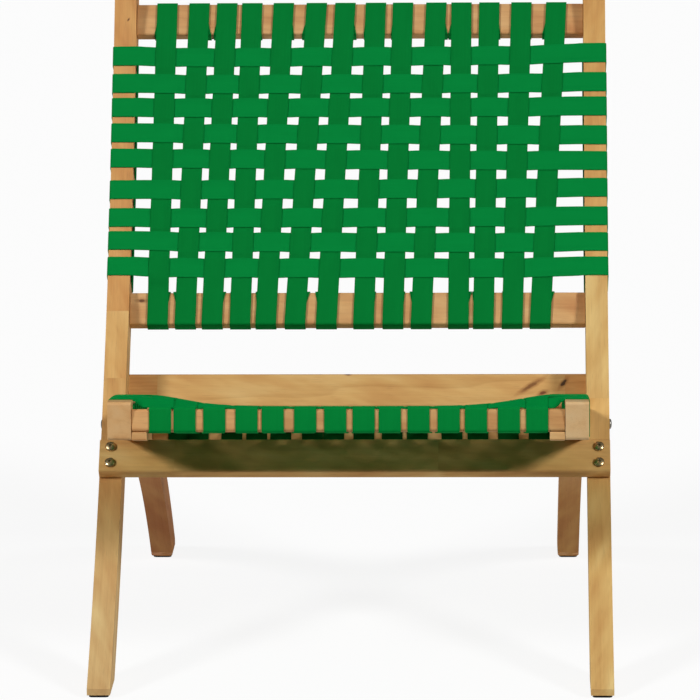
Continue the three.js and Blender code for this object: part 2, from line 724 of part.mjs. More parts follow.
// Bolts: heads on the apron's front face and on the rear board's rear face
const boardOuterFace = stileDepth / 2 + 2 * seatedGap + boardThickness;
for (const [name, side] of sides) {
  boltPlaces.forEach((place, index) => {
    const level = index === 0 ? 'lower' : 'upper';
    const onFace = (along, outward) => placeInSideView(stileArc.at(along, outward), leanAt(along));
    const apronPlace = onFace(apronAt + place, -boardOuterFace);
    const rearPlace = onFace(rearBoardAt + place, boardOuterFace);
    const shift = new THREE.Matrix4().makeTranslation(side * stileMiddle, 0, 0);
    const toFront = new THREE.Matrix4().makeRotationX(Math.PI);
    const bolt = () => boltGeometry(boltDiameter, boltLength, boltHeadDiameter, boltHeadHeight);
    const frontPlace = shift.clone().multiply(apronPlace).multiply(toFront);
    addPiece(backFrame, `apron_bolt_${name}_${level}`, bolt(), steel, frontPlace);
    addPiece(backFrame, `rear_board_bolt_${name}_${level}`, bolt(), steel, shift.clone().multiply(rearPlace));
  });
}

// Pivots: bolt through stile, washer and rail, with a nut sunk in the rail's inner face
const nutSeat = seatRailInnerFace + pivotNutRecess - seatedGap;
const pivotBoltLength = halfWidth + seatedGap - (nutSeat - pivotNutHeight - boltStickOut);
for (const [name, side] of sides) {
  const bolt = boltGeometry(pivotBoltDiameter, pivotBoltLength, pivotHeadDiameter, pivotHeadHeight);
  bolt.rotateZ((-side * Math.PI) / 2);
  const pivotPlace = (x) => new THREE.Matrix4().makeTranslation(side * x, 0, pivotHeight);
  addPiece(backFrame, `pivot_bolt_${name}`, bolt, steel, pivotPlace(halfWidth + seatedGap));
  const washer = ringGeometry(
    pivotBoltDiameter + 2 * seatedGap,
    pivotWasherDiameter,
    sideGap - 2 * seatedGap,
    roundSides,
  );
  addPiece(backFrame, `pivot_washer_${name}`, washer, steel, pivotPlace(stileInnerFace - sideGap / 2));
  const nut = nutGeometry(pivotNutAcrossFlats, pivotNutHeight, pivotBoltDiameter + 2 * seatedGap);
  addPiece(backFrame, `pivot_nut_${name}`, nut, steel, pivotPlace(nutSeat - pivotNutHeight / 2));
}

// Glides under the feet
for (const [name, side] of sides) {
  const front = glideGeometry(stileArc, stileDepth, stileThickness, 'inner');
  front.translate(side * stileMiddle, 0, 0);
  addPiece(backFrame, `front_glide_${name}`, front, blackPlastic);
  const rear = glideGeometry(seatRailArc, seatRailHeight, seatRailThickness, 'outer');
  rear.translate(side * seatRailMiddle, 0, 0);
  addPiece(seatFrame, `rear_glide_${name}`, rear, blackPlastic);
}

addPiece(backFrame, 'back_webbing', webbingGeometry(backPanel), greenWebbing);
addPiece(seatFrame, 'seat_webbing', webbingGeometry(seatPanel), greenWebbing);

// The whole chair, centred over the origin front to back
const chair = new THREE.Group();
chair.add(backFrame, seatFrame);
const extent = new THREE.Box3().setFromObject(chair, true);
chair.position.y = -(extent.min.y + extent.max.y) / 2;

export default chair;
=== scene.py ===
import json
from dataclasses import dataclass
from math import asin, atan2, copysign, cos, exp, hypot, pi, radians, sin, sqrt

import bmesh
import bpy
from mathutils import Matrix, Vector


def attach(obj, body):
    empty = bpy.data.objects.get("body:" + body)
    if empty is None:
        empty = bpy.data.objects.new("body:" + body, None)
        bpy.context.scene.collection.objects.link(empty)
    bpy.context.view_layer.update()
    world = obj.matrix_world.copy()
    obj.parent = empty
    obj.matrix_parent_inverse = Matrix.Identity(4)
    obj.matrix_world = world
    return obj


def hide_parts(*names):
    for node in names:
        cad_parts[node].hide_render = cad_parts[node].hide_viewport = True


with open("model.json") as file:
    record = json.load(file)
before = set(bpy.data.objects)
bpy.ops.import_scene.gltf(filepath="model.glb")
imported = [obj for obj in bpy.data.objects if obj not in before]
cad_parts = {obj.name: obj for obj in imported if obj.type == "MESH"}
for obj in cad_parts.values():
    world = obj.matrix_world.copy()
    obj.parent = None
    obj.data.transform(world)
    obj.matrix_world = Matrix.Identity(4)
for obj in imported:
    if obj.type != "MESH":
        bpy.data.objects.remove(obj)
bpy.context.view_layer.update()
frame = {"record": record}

MM = 0.001
PIVOT = Vector(frame["record"]["behaviour"]["joints"][0]["pos_m"])

# Whole chair
CHAIR_WIDTH = 610 * MM
SIDE_GAP = 3 * MM
SEATED_GAP = 0.3 * MM
EASED_EDGE = 2 * MM

# Stiles
STILE_THICKNESS = 27 * MM
STILE_DEPTH = 48 * MM
STILE_BEND_RADIUS = 1852 * MM
STILE_LEAN = radians(42.6)
STILE_ABOVE_PIVOT = 584 * MM
STILE_END_RADIUS = 9 * MM

# Seat rails
SEAT_RAIL_THICKNESS = 27 * MM
SEAT_RAIL_HEIGHT = 44 * MM
SEAT_RAIL_BEND_RADIUS = 1315 * MM
SEAT_RAIL_SLOPE = radians(20.4)
SEAT_RAIL_AHEAD = 343 * MM
SEAT_RAIL_END_RADIUS = 4 * MM
PIVOT_ABOVE_RAIL_CENTRE = 3 * MM

# Feet
GLIDE_THICKNESS = 3 * MM
GLIDE_INSET = 2 * MM
GLIDE_CORNER = 4 * MM
FOOT_CORNER = 6 * MM
FOOT_TIP_CUT = 11 * MM
FOOT_TIP_RADIUS = 3 * MM
FOOT_SIDE_RADIUS = 4 * MM

# Boards and cross rails
BOARD_HEIGHT = 46 * MM
BOARD_THICKNESS = 16 * MM
BOARD_EDGE = 3 * MM
APRON_STOP_GAP = 0.8 * MM
REAR_BOARD_GAP = 4.3 * MM
BACK_RAIL_HEIGHT = 42 * MM
BACK_RAIL_THICKNESS = 16 * MM
BACK_RAIL_SETBACK = 13 * MM
BACK_TOP_RAIL_AT = 543.5 * MM
BACK_BOTTOM_RAIL_AT = 156 * MM
CROSS_RAIL_HEIGHT = 26 * MM
CROSS_RAIL_DEPTH = 20 * MM
CROSS_RAIL_DROP = 9.5 * MM
FRONT_RAIL_SETBACK = 2 * MM
REAR_RAIL_BEHIND_PIVOT = 28 * MM
CROSS_RAIL_EDGE = 4 * MM
CORNER_BLOCK_WIDTH = 17.5 * MM
CORNER_BLOCK_HEIGHT = 9.5 * MM
CORNER_BLOCK_DEPTH = 19 * MM
CORNER_BLOCK_EDGE = 1.5 * MM
CORNER_BLOCK_SETBACK = 1 * MM

# Bolts, washers and nuts
BOLT_DIAMETER = 6 * MM
BOLT_LENGTH = 42 * MM
BOLT_HEAD_DIAMETER = 12.8 * MM
BOLT_HEAD_HEIGHT = 3.4 * MM
BOLT_SOCKET = 4 * MM
BOLT_SOCKET_DEPTH = 2 * MM
BOLT_SPACING = 23 * MM
PIVOT_BOLT_DIAMETER = 7 * MM
PIVOT_HEAD_DIAMETER = 12 * MM
PIVOT_HEAD_HEIGHT = 3 * MM
PIVOT_WASHER_DIAMETER = 20 * MM
PIVOT_NUT_ACROSS_FLATS = 11 * MM
PIVOT_NUT_HEIGHT = 6 * MM
PIVOT_NUT_RECESS = 4 * MM
PIVOT_NUT_RECESS_DIAMETER = 17 * MM
BOLT_STICK_OUT = 1.5 * MM

# Webbing
WEBBING_WIDTH = 25.4 * MM
WEBBING_THICKNESS = 1 * MM
BACK_SIDE_TAIL = 30 * MM
SEAT_SIDE_TAIL = 38 * MM
TAIL_UNDER = 14 * MM
TAIL_SLANT = 3.5 * MM
TAIL_SLANT_TURN = 2.4
TAIL_FADE = 3 * MM
STRAP_OVER_TAIL = 1.1 * MM
WEAVE_OFFSET = 0.54 * MM
WEAVE_MARGIN = 0.5 * MM
STRAP_CORNER = 3.4 * MM
END_PIN = 25 * MM
SIDE_PIN = 12 * MM
BACK_FADE = 45 * MM
SEAT_FADE = 77 * MM
BACK_FADE_POWER = 1.4
SEAT_FADE_POWER = 2
BACK_CROWN_SHARE = 0
SEAT_CROWN_SHARE = 0.16
LEVEL_STEPS = 2
RISE_STEPS = 5
SOFTEN_STEPS = 6
STRAIGHT_TURN = radians(15)
CORNER_SHARE = 0.45

BACK_STRAP_TOP_SHARES = (
    -0.864, -0.721, -0.597, -0.484, -0.344, -0.197, -0.068,
    0.07, 0.192, 0.34, 0.455, 0.579, 0.722, 0.876,
)
BACK_STRAP_BOTTOM_SHARES = (
    -0.875, -0.753, -0.635, -0.512, -0.398, -0.269, -0.132,
    0.03, 0.158, 0.283, 0.444, 0.554, 0.681, 0.805,
)
SEAT_STRAP_FRONT_SHARES = (
    -0.866, -0.753, -0.616, -0.468, -0.347, -0.198, -0.06,
    0.071, 0.192, 0.324, 0.463, 0.589, 0.74, 0.87,
)
SEAT_STRAP_REAR_SHARES = (
    -0.88, -0.76, -0.621, -0.486, -0.363, -0.23, -0.1,
    0.03, 0.168, 0.309, 0.452, 0.6, 0.745, 0.88,
)
BACK_CROSS_SHARES = (
    (0.131, 0.129), (0.222, 0.215), (0.303, 0.306), (0.401, 0.406), (0.512, 0.499),
    (0.6, 0.589), (0.688, 0.689), (0.771, 0.773), (0.865, 0.873),
)
SEAT_CROSS_SHARES = (
    (0.268, 0.27), (0.371, 0.369), (0.473, 0.475), (0.576, 0.574), (0.677, 0.679), (0.779, 0.777),
    (0.88, 0.882),
)

# Steps of a search and of round forms, the dome's in degrees
HALVINGS = 60
BEND_STEPS = 110
END_STEPS = 6
BOARD_STEPS = 5
EDGE_STEPS = 4
FINE_STEPS = 2
DOME_STEP = 12
DOME_END = 84
BOLT_SIDES = 40
HOLE_SIDES = 24
ROUND_SIDES = 32
WASHER_SIDES = 48
HEXAGON_SIDES = 6
HEXAGON_CORNERS = 2 / sqrt(3)

# What tells one edge from another: how nearly it runs along X, and the turn between its two faces
ACROSS_SHARE = 0.9
SLIGHT_TURN = radians(20)
NUT_TURN = radians(30)
SHADING_TURN = radians(38)
CLEAR_TURN = radians(50)
SQUARE_TURN = radians(60)

# Camera, as fitted to the photograph
CAMERA_LENS = 267.4
CAMERA_SENSOR = 36
CAMERA_DISTANCE = 6.25507
CAMERA_ELEVATION = radians(11.06)
CAMERA_TURN = radians(1.624)
CAMERA_ROLL = radians(-0.384)
CAMERA_AIM = Vector((-6.59 * MM, PIVOT.y, 348.07 * MM))
CAMERA_REACH = 100

# Lamps: name, azimuth, elevation, strength, width, in degrees. The low ones shine up through the floor.
LAMPS = (
    ("left lamp", -52, 32, 1.85, 12),
    ("right lamp", 52, 32, 1.85, 12),
    ("overhead lamp", 0, 75, 0.2, 80),
    ("low left lamp", -100, -38, 1.3, 40),
    ("low right lamp", 100, -38, 1.3, 40),
)
ROOM_LIGHT = 0.015
WHITE = (1, 1, 1, 1)
FLOOR_HALF_SIZE = 60
FLOOR_AS_LIT = (0.24, 0.24, 0.24, 1)
FLOOR_AS_SEEN = (0.13, 0.13, 0.13, 1)
FLOOR_GLOW = 0.88

# Timber: the light and the dark part of each palette, then its tints and its small marks
HONEY = ((0.72, 0.415, 0.14, 1), (0.45, 0.21, 0.06, 1))
ROSY = ((0.7, 0.395, 0.157, 1), (0.46, 0.205, 0.069, 1))
PALE = ((0.72, 0.44, 0.18, 1), (0.48, 0.24, 0.08, 1))
TAN = ((0.66, 0.385, 0.135, 1), (0.44, 0.215, 0.06, 1))
STRAW = ((0.83, 0.49, 0.165, 1), (0.54, 0.27, 0.075, 1))
LEMON = ((0.78, 0.47, 0.15, 1), (0.5, 0.245, 0.066, 1))
REDDER = (1, 0.82, 0.74, 1)
PALER = (1, 1.22, 1.55, 1)
PORE_COLOUR = (0.2, 0.085, 0.025, 1)
SEAM_COLOUR = (0.12, 0.06, 0.03, 1)
KNOT_HALO = (0.33, 0.13, 0.035, 1)
KNOT_HEART = (0.11, 0.036, 0.011, 1)
BLACK_HEART = (0.03, 0.011, 0.004, 1)
STREAK_HEART = (0.2, 0.078, 0.022, 1)
RED_HEART = (0.14, 0.034, 0.011, 1)

# Timber: finger joints, rings and the shares of each part of the grain
NO_JOINT = (9, 0, 0)
FINGER_WIDTH = 2 * MM
FINGER_SLOPE = 5
SEAM_HALF_WIDTH = 0.2 * MM
SEAM_SHARE = 0.07
BLOCK_SHIFT = 3
PITH_WANDER = 30 * MM
RING_STRETCH = (0.02, 1, 1)
LATE_WOOD_POWER = 2.2
LATE_WOOD_END = 0.9
DARK_SHARE = 0.34
FIBRE_WEIGHT = 0.4
TONAL_WEIGHT = 0.6
STREAK_WEIGHT = 0.4
FIGURE_WEIGHT = 1.3
FIGURE_BLUSH = 1.5
PORE_EDGE = (0.62, 0.72)
PORE_SHARE = 0.22
FOOT_RANGE = (-0.3, -0.1)
OILED_ROUGHNESS = 0.42
FIBRE_ROUGHNESS = 0.14
PORE_ROUGHNESS = 0.15
PORE_DEPTH = 0.6
SEAM_DEPTH = 0.3
TIMBER_SPECULAR = 0.4
TIMBER_RELIEF = 0.15 * MM

# Knots: stretch, slant and heart of a plain one, and where rim and core fade, in radii, and from what to what
PLAIN_KNOT = (0.45, 0, KNOT_HEART)
KNOT_RAGGEDNESS = 0.9
KNOT_RIM = (0.9, 1.9, 0.6, 0)
KNOT_CORE = (0.45, 1.05, 0.9, 0)

# Webbing, metal and plastic
HALF_YARN = 0.55 * MM
HALF_PICK = 0.7 * MM
SELVEDGE = 2.2 * MM
YARN_EDGE = 0.8
PICK_EDGE = 0.7
SHADE_SHARE = 0.4
WEAVE_WEIGHT = 0.32
PATCH_WEIGHT = 0.45
LINE_WEIGHT = 0.4
SELVEDGE_WEIGHT = 0.12
FUZZ_WEIGHT = 0.25
WEBBING_ROUGHNESS = 0.55
FUZZ_ROUGHNESS = 0.2
SELVEDGE_RELIEF = 0.5
FUZZ_RELIEF = 0.3
# Painted shade on the tucked tails of the seat's long straps
PAINTED_TAIL_SHADE = (0.3, 0.24, 0.2, 1)
WEBBING_RELIEF = 0.3 * MM
WEBBING_SHEEN = {
    "Specular IOR Level": 0.03, "Sheen Weight": 0.25, "Sheen Roughness": 0.5, "Sheen Tint": (0, 0.55, 0.14, 1),
}
CLOUD_EDGE = (0.35, 0.7)
WORN_ROUGHNESS = 0.18
SCRATCH_ROUGHNESS = 0.08
STEEL_RELIEF = 0.02 * MM
PLASTIC_RELIEF = 0.05 * MM
BUMP_STRENGTH = 0.6

# What a group gives: each output's label and kind
SURFACE = {"Color": "Color", "Roughness": "Float", "Height": "Float"}

# Noises: spots per metre in each direction, detail, roughness
SWAY = ((2.2, 14, 14), 2, 0.5)
FIGURE = ((5, 50, 50), 2, 0.45)
FIBRE = ((9, 420, 420), 4, 0.6)
PORES = ((45, 1500, 1500), 1, 0.5)
TONAL = ((1.6, 16, 16), 2, 0.5)
STREAK = ((3, 110, 110), 3, 0.55)
RAGGED = ((160, 300, 300), 3, 0.5)
PATCHES = ((60, 14, 14), 3, 0.5)
FUZZ = ((2500, 700, 700), 2, 0.5)
LINES = ((480, 7, 7), 3, 0.6)
CLOUDS = ((220, 220, 220), 3, 0.5)
SCRATCHES = ((3000, 600, 900), 2, 0.5)

# Sizes that follow
HALF_WIDTH = CHAIR_WIDTH / 2
STILE_INNER = HALF_WIDTH - STILE_THICKNESS
STILE_MIDDLE = HALF_WIDTH - STILE_THICKNESS / 2
SEAT_RAIL_OUTER = STILE_INNER - SIDE_GAP
SEAT_RAIL_MIDDLE = SEAT_RAIL_OUTER - SEAT_RAIL_THICKNESS / 2
SEAT_RAIL_INNER = SEAT_RAIL_OUTER - SEAT_RAIL_THICKNESS
FOOT_HEIGHT = GLIDE_THICKNESS + SEATED_GAP
BOLT_HOLE = BOLT_DIAMETER + 2 * SEATED_GAP
PIVOT_HOLE = PIVOT_BOLT_DIAMETER + 2 * SEATED_GAP
STRAP_LIFT = SEATED_GAP + WEBBING_THICKNESS / 2
TAIL_END = TAIL_UNDER + CROSS_RAIL_HEIGHT + 2 * STRAP_LIFT
SIDES = (("right", -1), ("left", 1))
COLUMNS = (-0.5, -0.46, -0.25, 0, 0.25, 0.46, 0.5)
MIDDLE = COLUMNS.index(0)


def mix(a, b, share):
    return a + (b - a) * share


def smooth(share):
    share = min(max(share, 0), 1)
    return share * share * (3 - 2 * share)


class Bend:
    """The centre line of a bent member: an arc in the side view, measured from the pivot."""

    def __init__(self, pivot_angle, radius, pivot_outward):
        self.radius = radius
        self.pivot_angle = pivot_angle
        reach = radius + pivot_outward
        self.centre = Vector((0, PIVOT.y - reach * cos(pivot_angle), PIVOT.z - reach * sin(pivot_angle)))

    def angle_at(self, along):
        return self.pivot_angle + along / self.radius

    def point(self, angle, outward, x=0):
        reach = self.radius + outward
        return Vector((x, self.centre.y + reach * cos(angle), self.centre.z + reach * sin(angle)))

    def at(self, along, outward, x=0):
        return self.point(self.angle_at(along), outward, x)

    def grain(self, point):
        y, z = point.y - self.centre.y, point.z - self.centre.z
        return Vector(((atan2(z, y) - self.pivot_angle) * self.radius, hypot(y, z) - self.radius, point.x))

    def foot_angle(self, outward):
        return asin((FOOT_HEIGHT - self.centre.z) / (self.radius + outward))


stile_bend = Bend(-STILE_LEAN, STILE_BEND_RADIUS, 0)
seat_bend = Bend(pi / 2 - SEAT_RAIL_SLOPE, SEAT_RAIL_BEND_RADIUS, PIVOT_ABOVE_RAIL_CENTRE)


def in_side_view(point, turn):
    """A place whose +Z leans back by turn from upright."""
    return Matrix.Translation(point) @ Matrix.Rotation(-turn, 4, "X")


class Chord:
    """The straight line between the middles of two cross rails, with the way up towards the sitter."""

    def __init__(self, first, second, sitter_side):
        self.first = first
        self.along = (second - first).normalized()
        self.up = Vector((0, -self.along.z, self.along.y)) * sitter_side
        self.length = (second - first).length

    def at(self, distance, height, x=0):
        return self.first + self.along * distance + self.up * height + Vector((x, 0, 0))

    def measure(self, point):
        offset = point - self.first
        return offset.dot(self.along), offset.dot(self.up)


back_rail_outward = -STILE_DEPTH / 2 + BACK_RAIL_SETBACK + BACK_RAIL_THICKNESS / 2
back_chord = Chord(
    stile_bend.at(BACK_BOTTOM_RAIL_AT, back_rail_outward),
    stile_bend.at(BACK_TOP_RAIL_AT, back_rail_outward),
    1,
)
back_lean = atan2(back_chord.along.y, back_chord.along.z)
cross_rail_outward = SEAT_RAIL_HEIGHT / 2 - CROSS_RAIL_DROP - CROSS_RAIL_HEIGHT / 2
seat_chord = Chord(
    seat_bend.at(-REAR_RAIL_BEHIND_PIVOT - CROSS_RAIL_DEPTH / 2, cross_rail_outward),
    seat_bend.at(SEAT_RAIL_AHEAD - FRONT_RAIL_SETBACK - CROSS_RAIL_DEPTH / 2, cross_rail_outward),
    -1,
)
seat_slope = atan2(seat_chord.along.z, -seat_chord.along.y)


def slide_until(distance_left, low, high):
    """The place between low and high at which distance_left passes through zero."""
    for _ in range(HALVINGS):
        middle = (low + high) / 2
        if (distance_left(middle) > 0) == (distance_left(low) > 0):
            low = middle
        else:
            high = middle
    return (low + high) / 2


board_outward = STILE_DEPTH / 2 + SEATED_GAP + BOARD_THICKNESS / 2
board_corner = board_outward + BOARD_THICKNESS / 2 - BOARD_EDGE


def from_rail_centre(along, outward):
    return (stile_bend.at(along, outward) - seat_bend.centre).length


apron_top_at = slide_until(
    lambda along: SEAT_RAIL_BEND_RADIUS - SEAT_RAIL_HEIGHT / 2 - BOARD_EDGE - APRON_STOP_GAP
    - from_rail_centre(along - BOARD_EDGE, -board_corner),
    -STILE_ABOVE_PIVOT / 4,
    0,
)
rear_board_bottom_at = slide_until(
    lambda along: from_rail_centre(along + BOARD_EDGE, board_corner)
    - SEAT_RAIL_BEND_RADIUS - SEAT_RAIL_HEIGHT / 2 - BOARD_EDGE - REAR_BOARD_GAP,
    0,
    STILE_ABOVE_PIVOT / 4,
)
apron_at = apron_top_at - BOARD_HEIGHT / 2
rear_board_at = rear_board_bottom_at + BOARD_HEIGHT / 2


def lean_at(along):
    return -stile_bend.angle_at(along)


# Shader nodes

def feed(tree, socket, value):
    """Link the socket to another one, or set it to a constant."""
    if isinstance(value, bpy.types.NodeSocket):
        tree.links.new(value, socket)
    else:
        socket.default_value = value


def node(tree, kind, inputs=None, **settings):
    """A node with its settings, and with its inputs fed."""
    made = tree.nodes.new(kind)
    for name, value in settings.items():
        setattr(made, name, value)
    for key, value in (inputs or {}).items():
        feed(tree, made.inputs[key], value)
    return made


def calculate(tree, operation, *values, clamp=False):
    made = node(tree, "ShaderNodeMath", dict(enumerate(values)), operation=operation, use_clamp=clamp)
    return made.outputs[0]


def vectors(tree, operation, *values):
    made = node(tree, "ShaderNodeVectorMath", dict(enumerate(values)), operation=operation)
    return made.outputs["Value" if operation == "LENGTH" else "Vector"]


def vary(tree, value, weight, base, clamp=False):
    """The base, raised or lowered by the value's distance from a half, times the weight."""
    return calculate(tree, "MULTIPLY_ADD", calculate(tree, "SUBTRACT", value, 0.5), weight, base, clamp=clamp)


def blend_colours(tree, share, first, second, kind="MIX"):
    made = node(tree, "ShaderNodeMix", data_type="RGBA", blend_type=kind)
    for key, value in (("Factor_Float", share), ("A_Color", first), ("B_Color", second)):
        feed(tree, next(s for s in made.inputs if s.identifier == key), value)
    return next(s for s in made.outputs if s.identifier == "Result_Color")


def join(tree, x, y, z):
    return node(tree, "ShaderNodeCombineXYZ", {0: x, 1: y, 2: z}).outputs[0]


def split(tree, vector):
    return node(tree, "ShaderNodeSeparateXYZ", {0: vector}).outputs


def noise(tree, place, scale, detail, roughness):
    scaled = vectors(tree, "MULTIPLY", place, scale)
    return node(
        tree, "ShaderNodeTexNoise", {"Vector": scaled, "Scale": 1, "Detail": detail, "Roughness": roughness}
    ).outputs["Fac"]


def ramp_between(tree, value, low, high, to_low=0, to_high=1):
    return node(
        tree, "ShaderNodeMapRange",
        {"Value": value, "From Min": low, "From Max": high, "To Min": to_low, "To Max": to_high},
        clamp=True, interpolation_type="SMOOTHSTEP",
    ).outputs["Result"]


def new_group(name, inputs, outputs):
    """A node group whose sockets are given as their labels and kinds, with its inner ends."""
    tree = bpy.data.node_groups.new(name, "ShaderNodeTree")
    for way, sockets in (("INPUT", inputs), ("OUTPUT", outputs)):
        for label, kind in sockets.items():
            tree.interface.new_socket(label, in_out=way, socket_type="NodeSocket" + kind)
    return tree, tree.nodes.new("NodeGroupInput").outputs, tree.nodes.new("NodeGroupOutput").inputs


# Node groups

def timber_group():
    """Oiled hardwood: soft figure, growth rings, fibre, pores and up to three finger joints."""
    tree, given, result = new_group("Oiled timber", {
        "Grain": "Vector", "Light": "Color", "Dark": "Color", "Pith": "Vector", "Ring Pitch": "Float",
        "Seed": "Float", "Joints": "Vector", "Joint Tones": "Vector", "Blush": "Float",
        "Joint Blushes": "Vector", "Foot Shade": "Color", "Ring Weight": "Float", "Drift": "Float",
    }, SURFACE)
    place = vectors(tree, "ADD", given["Grain"], join(tree, given["Seed"], given["Seed"], given["Seed"]))
    along, outward, _ = split(tree, given["Grain"])

    # Finger joints: a saw-tooth seam on the sides, a straight one on the front and back
    teeth = calculate(tree, "MULTIPLY", calculate(tree, "PINGPONG", outward, FINGER_WIDTH), FINGER_SLOPE)
    tone, blush, seam = 0, given["Blush"], 0
    joints = zip(*(split(tree, given[label]) for label in ("Joints", "Joint Tones", "Joint Blushes")))
    for joint, joint_tone, joint_blush in joints:
        past = calculate(tree, "SUBTRACT", calculate(tree, "SUBTRACT", along, joint), teeth)
        beyond = calculate(tree, "GREATER_THAN", past, 0)
        tone = calculate(tree, "MULTIPLY_ADD", beyond, joint_tone, tone)
        blush = calculate(tree, "MULTIPLY_ADD", beyond, joint_blush, blush)
        here = calculate(tree, "LESS_THAN", calculate(tree, "ABSOLUTE", past), SEAM_HALF_WIDTH)
        seam = calculate(tree, "MAXIMUM", seam, here)
    blocks = join(tree, tone, calculate(tree, "MULTIPLY", tone, BLOCK_SHIFT), tone)
    place = vectors(tree, "ADD", place, blocks)

    # Growth rings round a pith that wanders along the length
    wobble = vary(tree, noise(tree, place, *SWAY), PITH_WANDER, 0)
    from_pith = vectors(tree, "ADD", given["Grain"], given["Pith"])
    from_pith = vectors(tree, "ADD", from_pith, join(tree, 0, wobble, wobble))
    across = vectors(tree, "MULTIPLY", vectors(tree, "ADD", from_pith, blocks), RING_STRETCH)
    turns = calculate(tree, "DIVIDE", vectors(tree, "LENGTH", across), given["Ring Pitch"])
    turn = calculate(tree, "FRACT", turns)
    late_wood = calculate(tree, "POWER", turn, LATE_WOOD_POWER)
    ring = calculate(tree, "MULTIPLY", late_wood, ramp_between(tree, turn, LATE_WOOD_END, 1, 1, 0))

    # Broad soft figure that runs a little across the grain
    drift = calculate(tree, "MULTIPLY", along, given["Drift"])
    figure = noise(tree, vectors(tree, "ADD", place, join(tree, 0, drift, drift)), *FIGURE)

    fibre = noise(tree, place, *FIBRE)
    pores = ramp_between(tree, noise(tree, place, *PORES), *PORE_EDGE)
    share = calculate(tree, "MULTIPLY", ring, given["Ring Weight"])
    for part, weight in (
        (fibre, FIBRE_WEIGHT), (noise(tree, place, *TONAL), TONAL_WEIGHT),
        (noise(tree, place, *STREAK), STREAK_WEIGHT), (figure, FIGURE_WEIGHT),
    ):
        share = vary(tree, part, weight, share)
    share = calculate(tree, "ADD", calculate(tree, "ADD", share, DARK_SHARE), tone, clamp=True)
    colour = blend_colours(tree, share, given["Light"], given["Dark"])
    blush = vary(tree, figure, FIGURE_BLUSH, blush)
    redder = calculate(tree, "MAXIMUM", blush, 0, clamp=True)
    paler = calculate(tree, "MAXIMUM", calculate(tree, "MULTIPLY", blush, -1), 0, clamp=True)
    colour = blend_colours(tree, redder, colour, REDDER, "MULTIPLY")
    colour = blend_colours(tree, paler, colour, PALER, "MULTIPLY")
    foot = ramp_between(tree, along, *FOOT_RANGE, 1, 0)
    colour = blend_colours(tree, foot, colour, given["Foot Shade"], "MULTIPLY")
    colour = blend_colours(tree, calculate(tree, "MULTIPLY", pores, PORE_SHARE), colour, PORE_COLOUR)
    colour = blend_colours(tree, calculate(tree, "MULTIPLY", seam, SEAM_SHARE), colour, SEAM_COLOUR)
    tree.links.new(colour, result["Color"])
    rough = calculate(tree, "MULTIPLY_ADD", fibre, FIBRE_ROUGHNESS, OILED_ROUGHNESS)
    tree.links.new(calculate(tree, "MULTIPLY_ADD", pores, PORE_ROUGHNESS, rough), result["Roughness"])
    height = calculate(tree, "SUBTRACT", fibre, calculate(tree, "MULTIPLY", pores, PORE_DEPTH))
    tree.links.new(calculate(tree, "MULTIPLY_ADD", seam, -SEAM_DEPTH, height), result["Height"])
    return tree


def knot_group():
    """A knot: a dark, ragged spot with a softer rim."""
    tree, given, result = new_group("Knot", {
        "Grain": "Vector", "Color": "Color", "Place": "Vector", "Radius": "Float", "Stretch": "Float",
        "Slant": "Float", "Heart": "Color",
    }, {"Color": "Color"})
    away_along, outward, across = split(tree, vectors(tree, "SUBTRACT", given["Grain"], given["Place"]))
    offset = join(
        tree, calculate(tree, "MULTIPLY", away_along, given["Stretch"]), outward,
        calculate(tree, "SUBTRACT", across, calculate(tree, "MULTIPLY", away_along, given["Slant"])),
    )
    reach = calculate(tree, "DIVIDE", vectors(tree, "LENGTH", offset), given["Radius"])
    reach = vary(tree, noise(tree, given["Grain"], *RAGGED), KNOT_RAGGEDNESS, reach)
    rim = blend_colours(tree, ramp_between(tree, reach, *KNOT_RIM), given["Color"], KNOT_HALO)
    core = ramp_between(tree, reach, *KNOT_CORE)
    tree.links.new(blend_colours(tree, core, rim, given["Heart"]), result["Color"])
    return tree


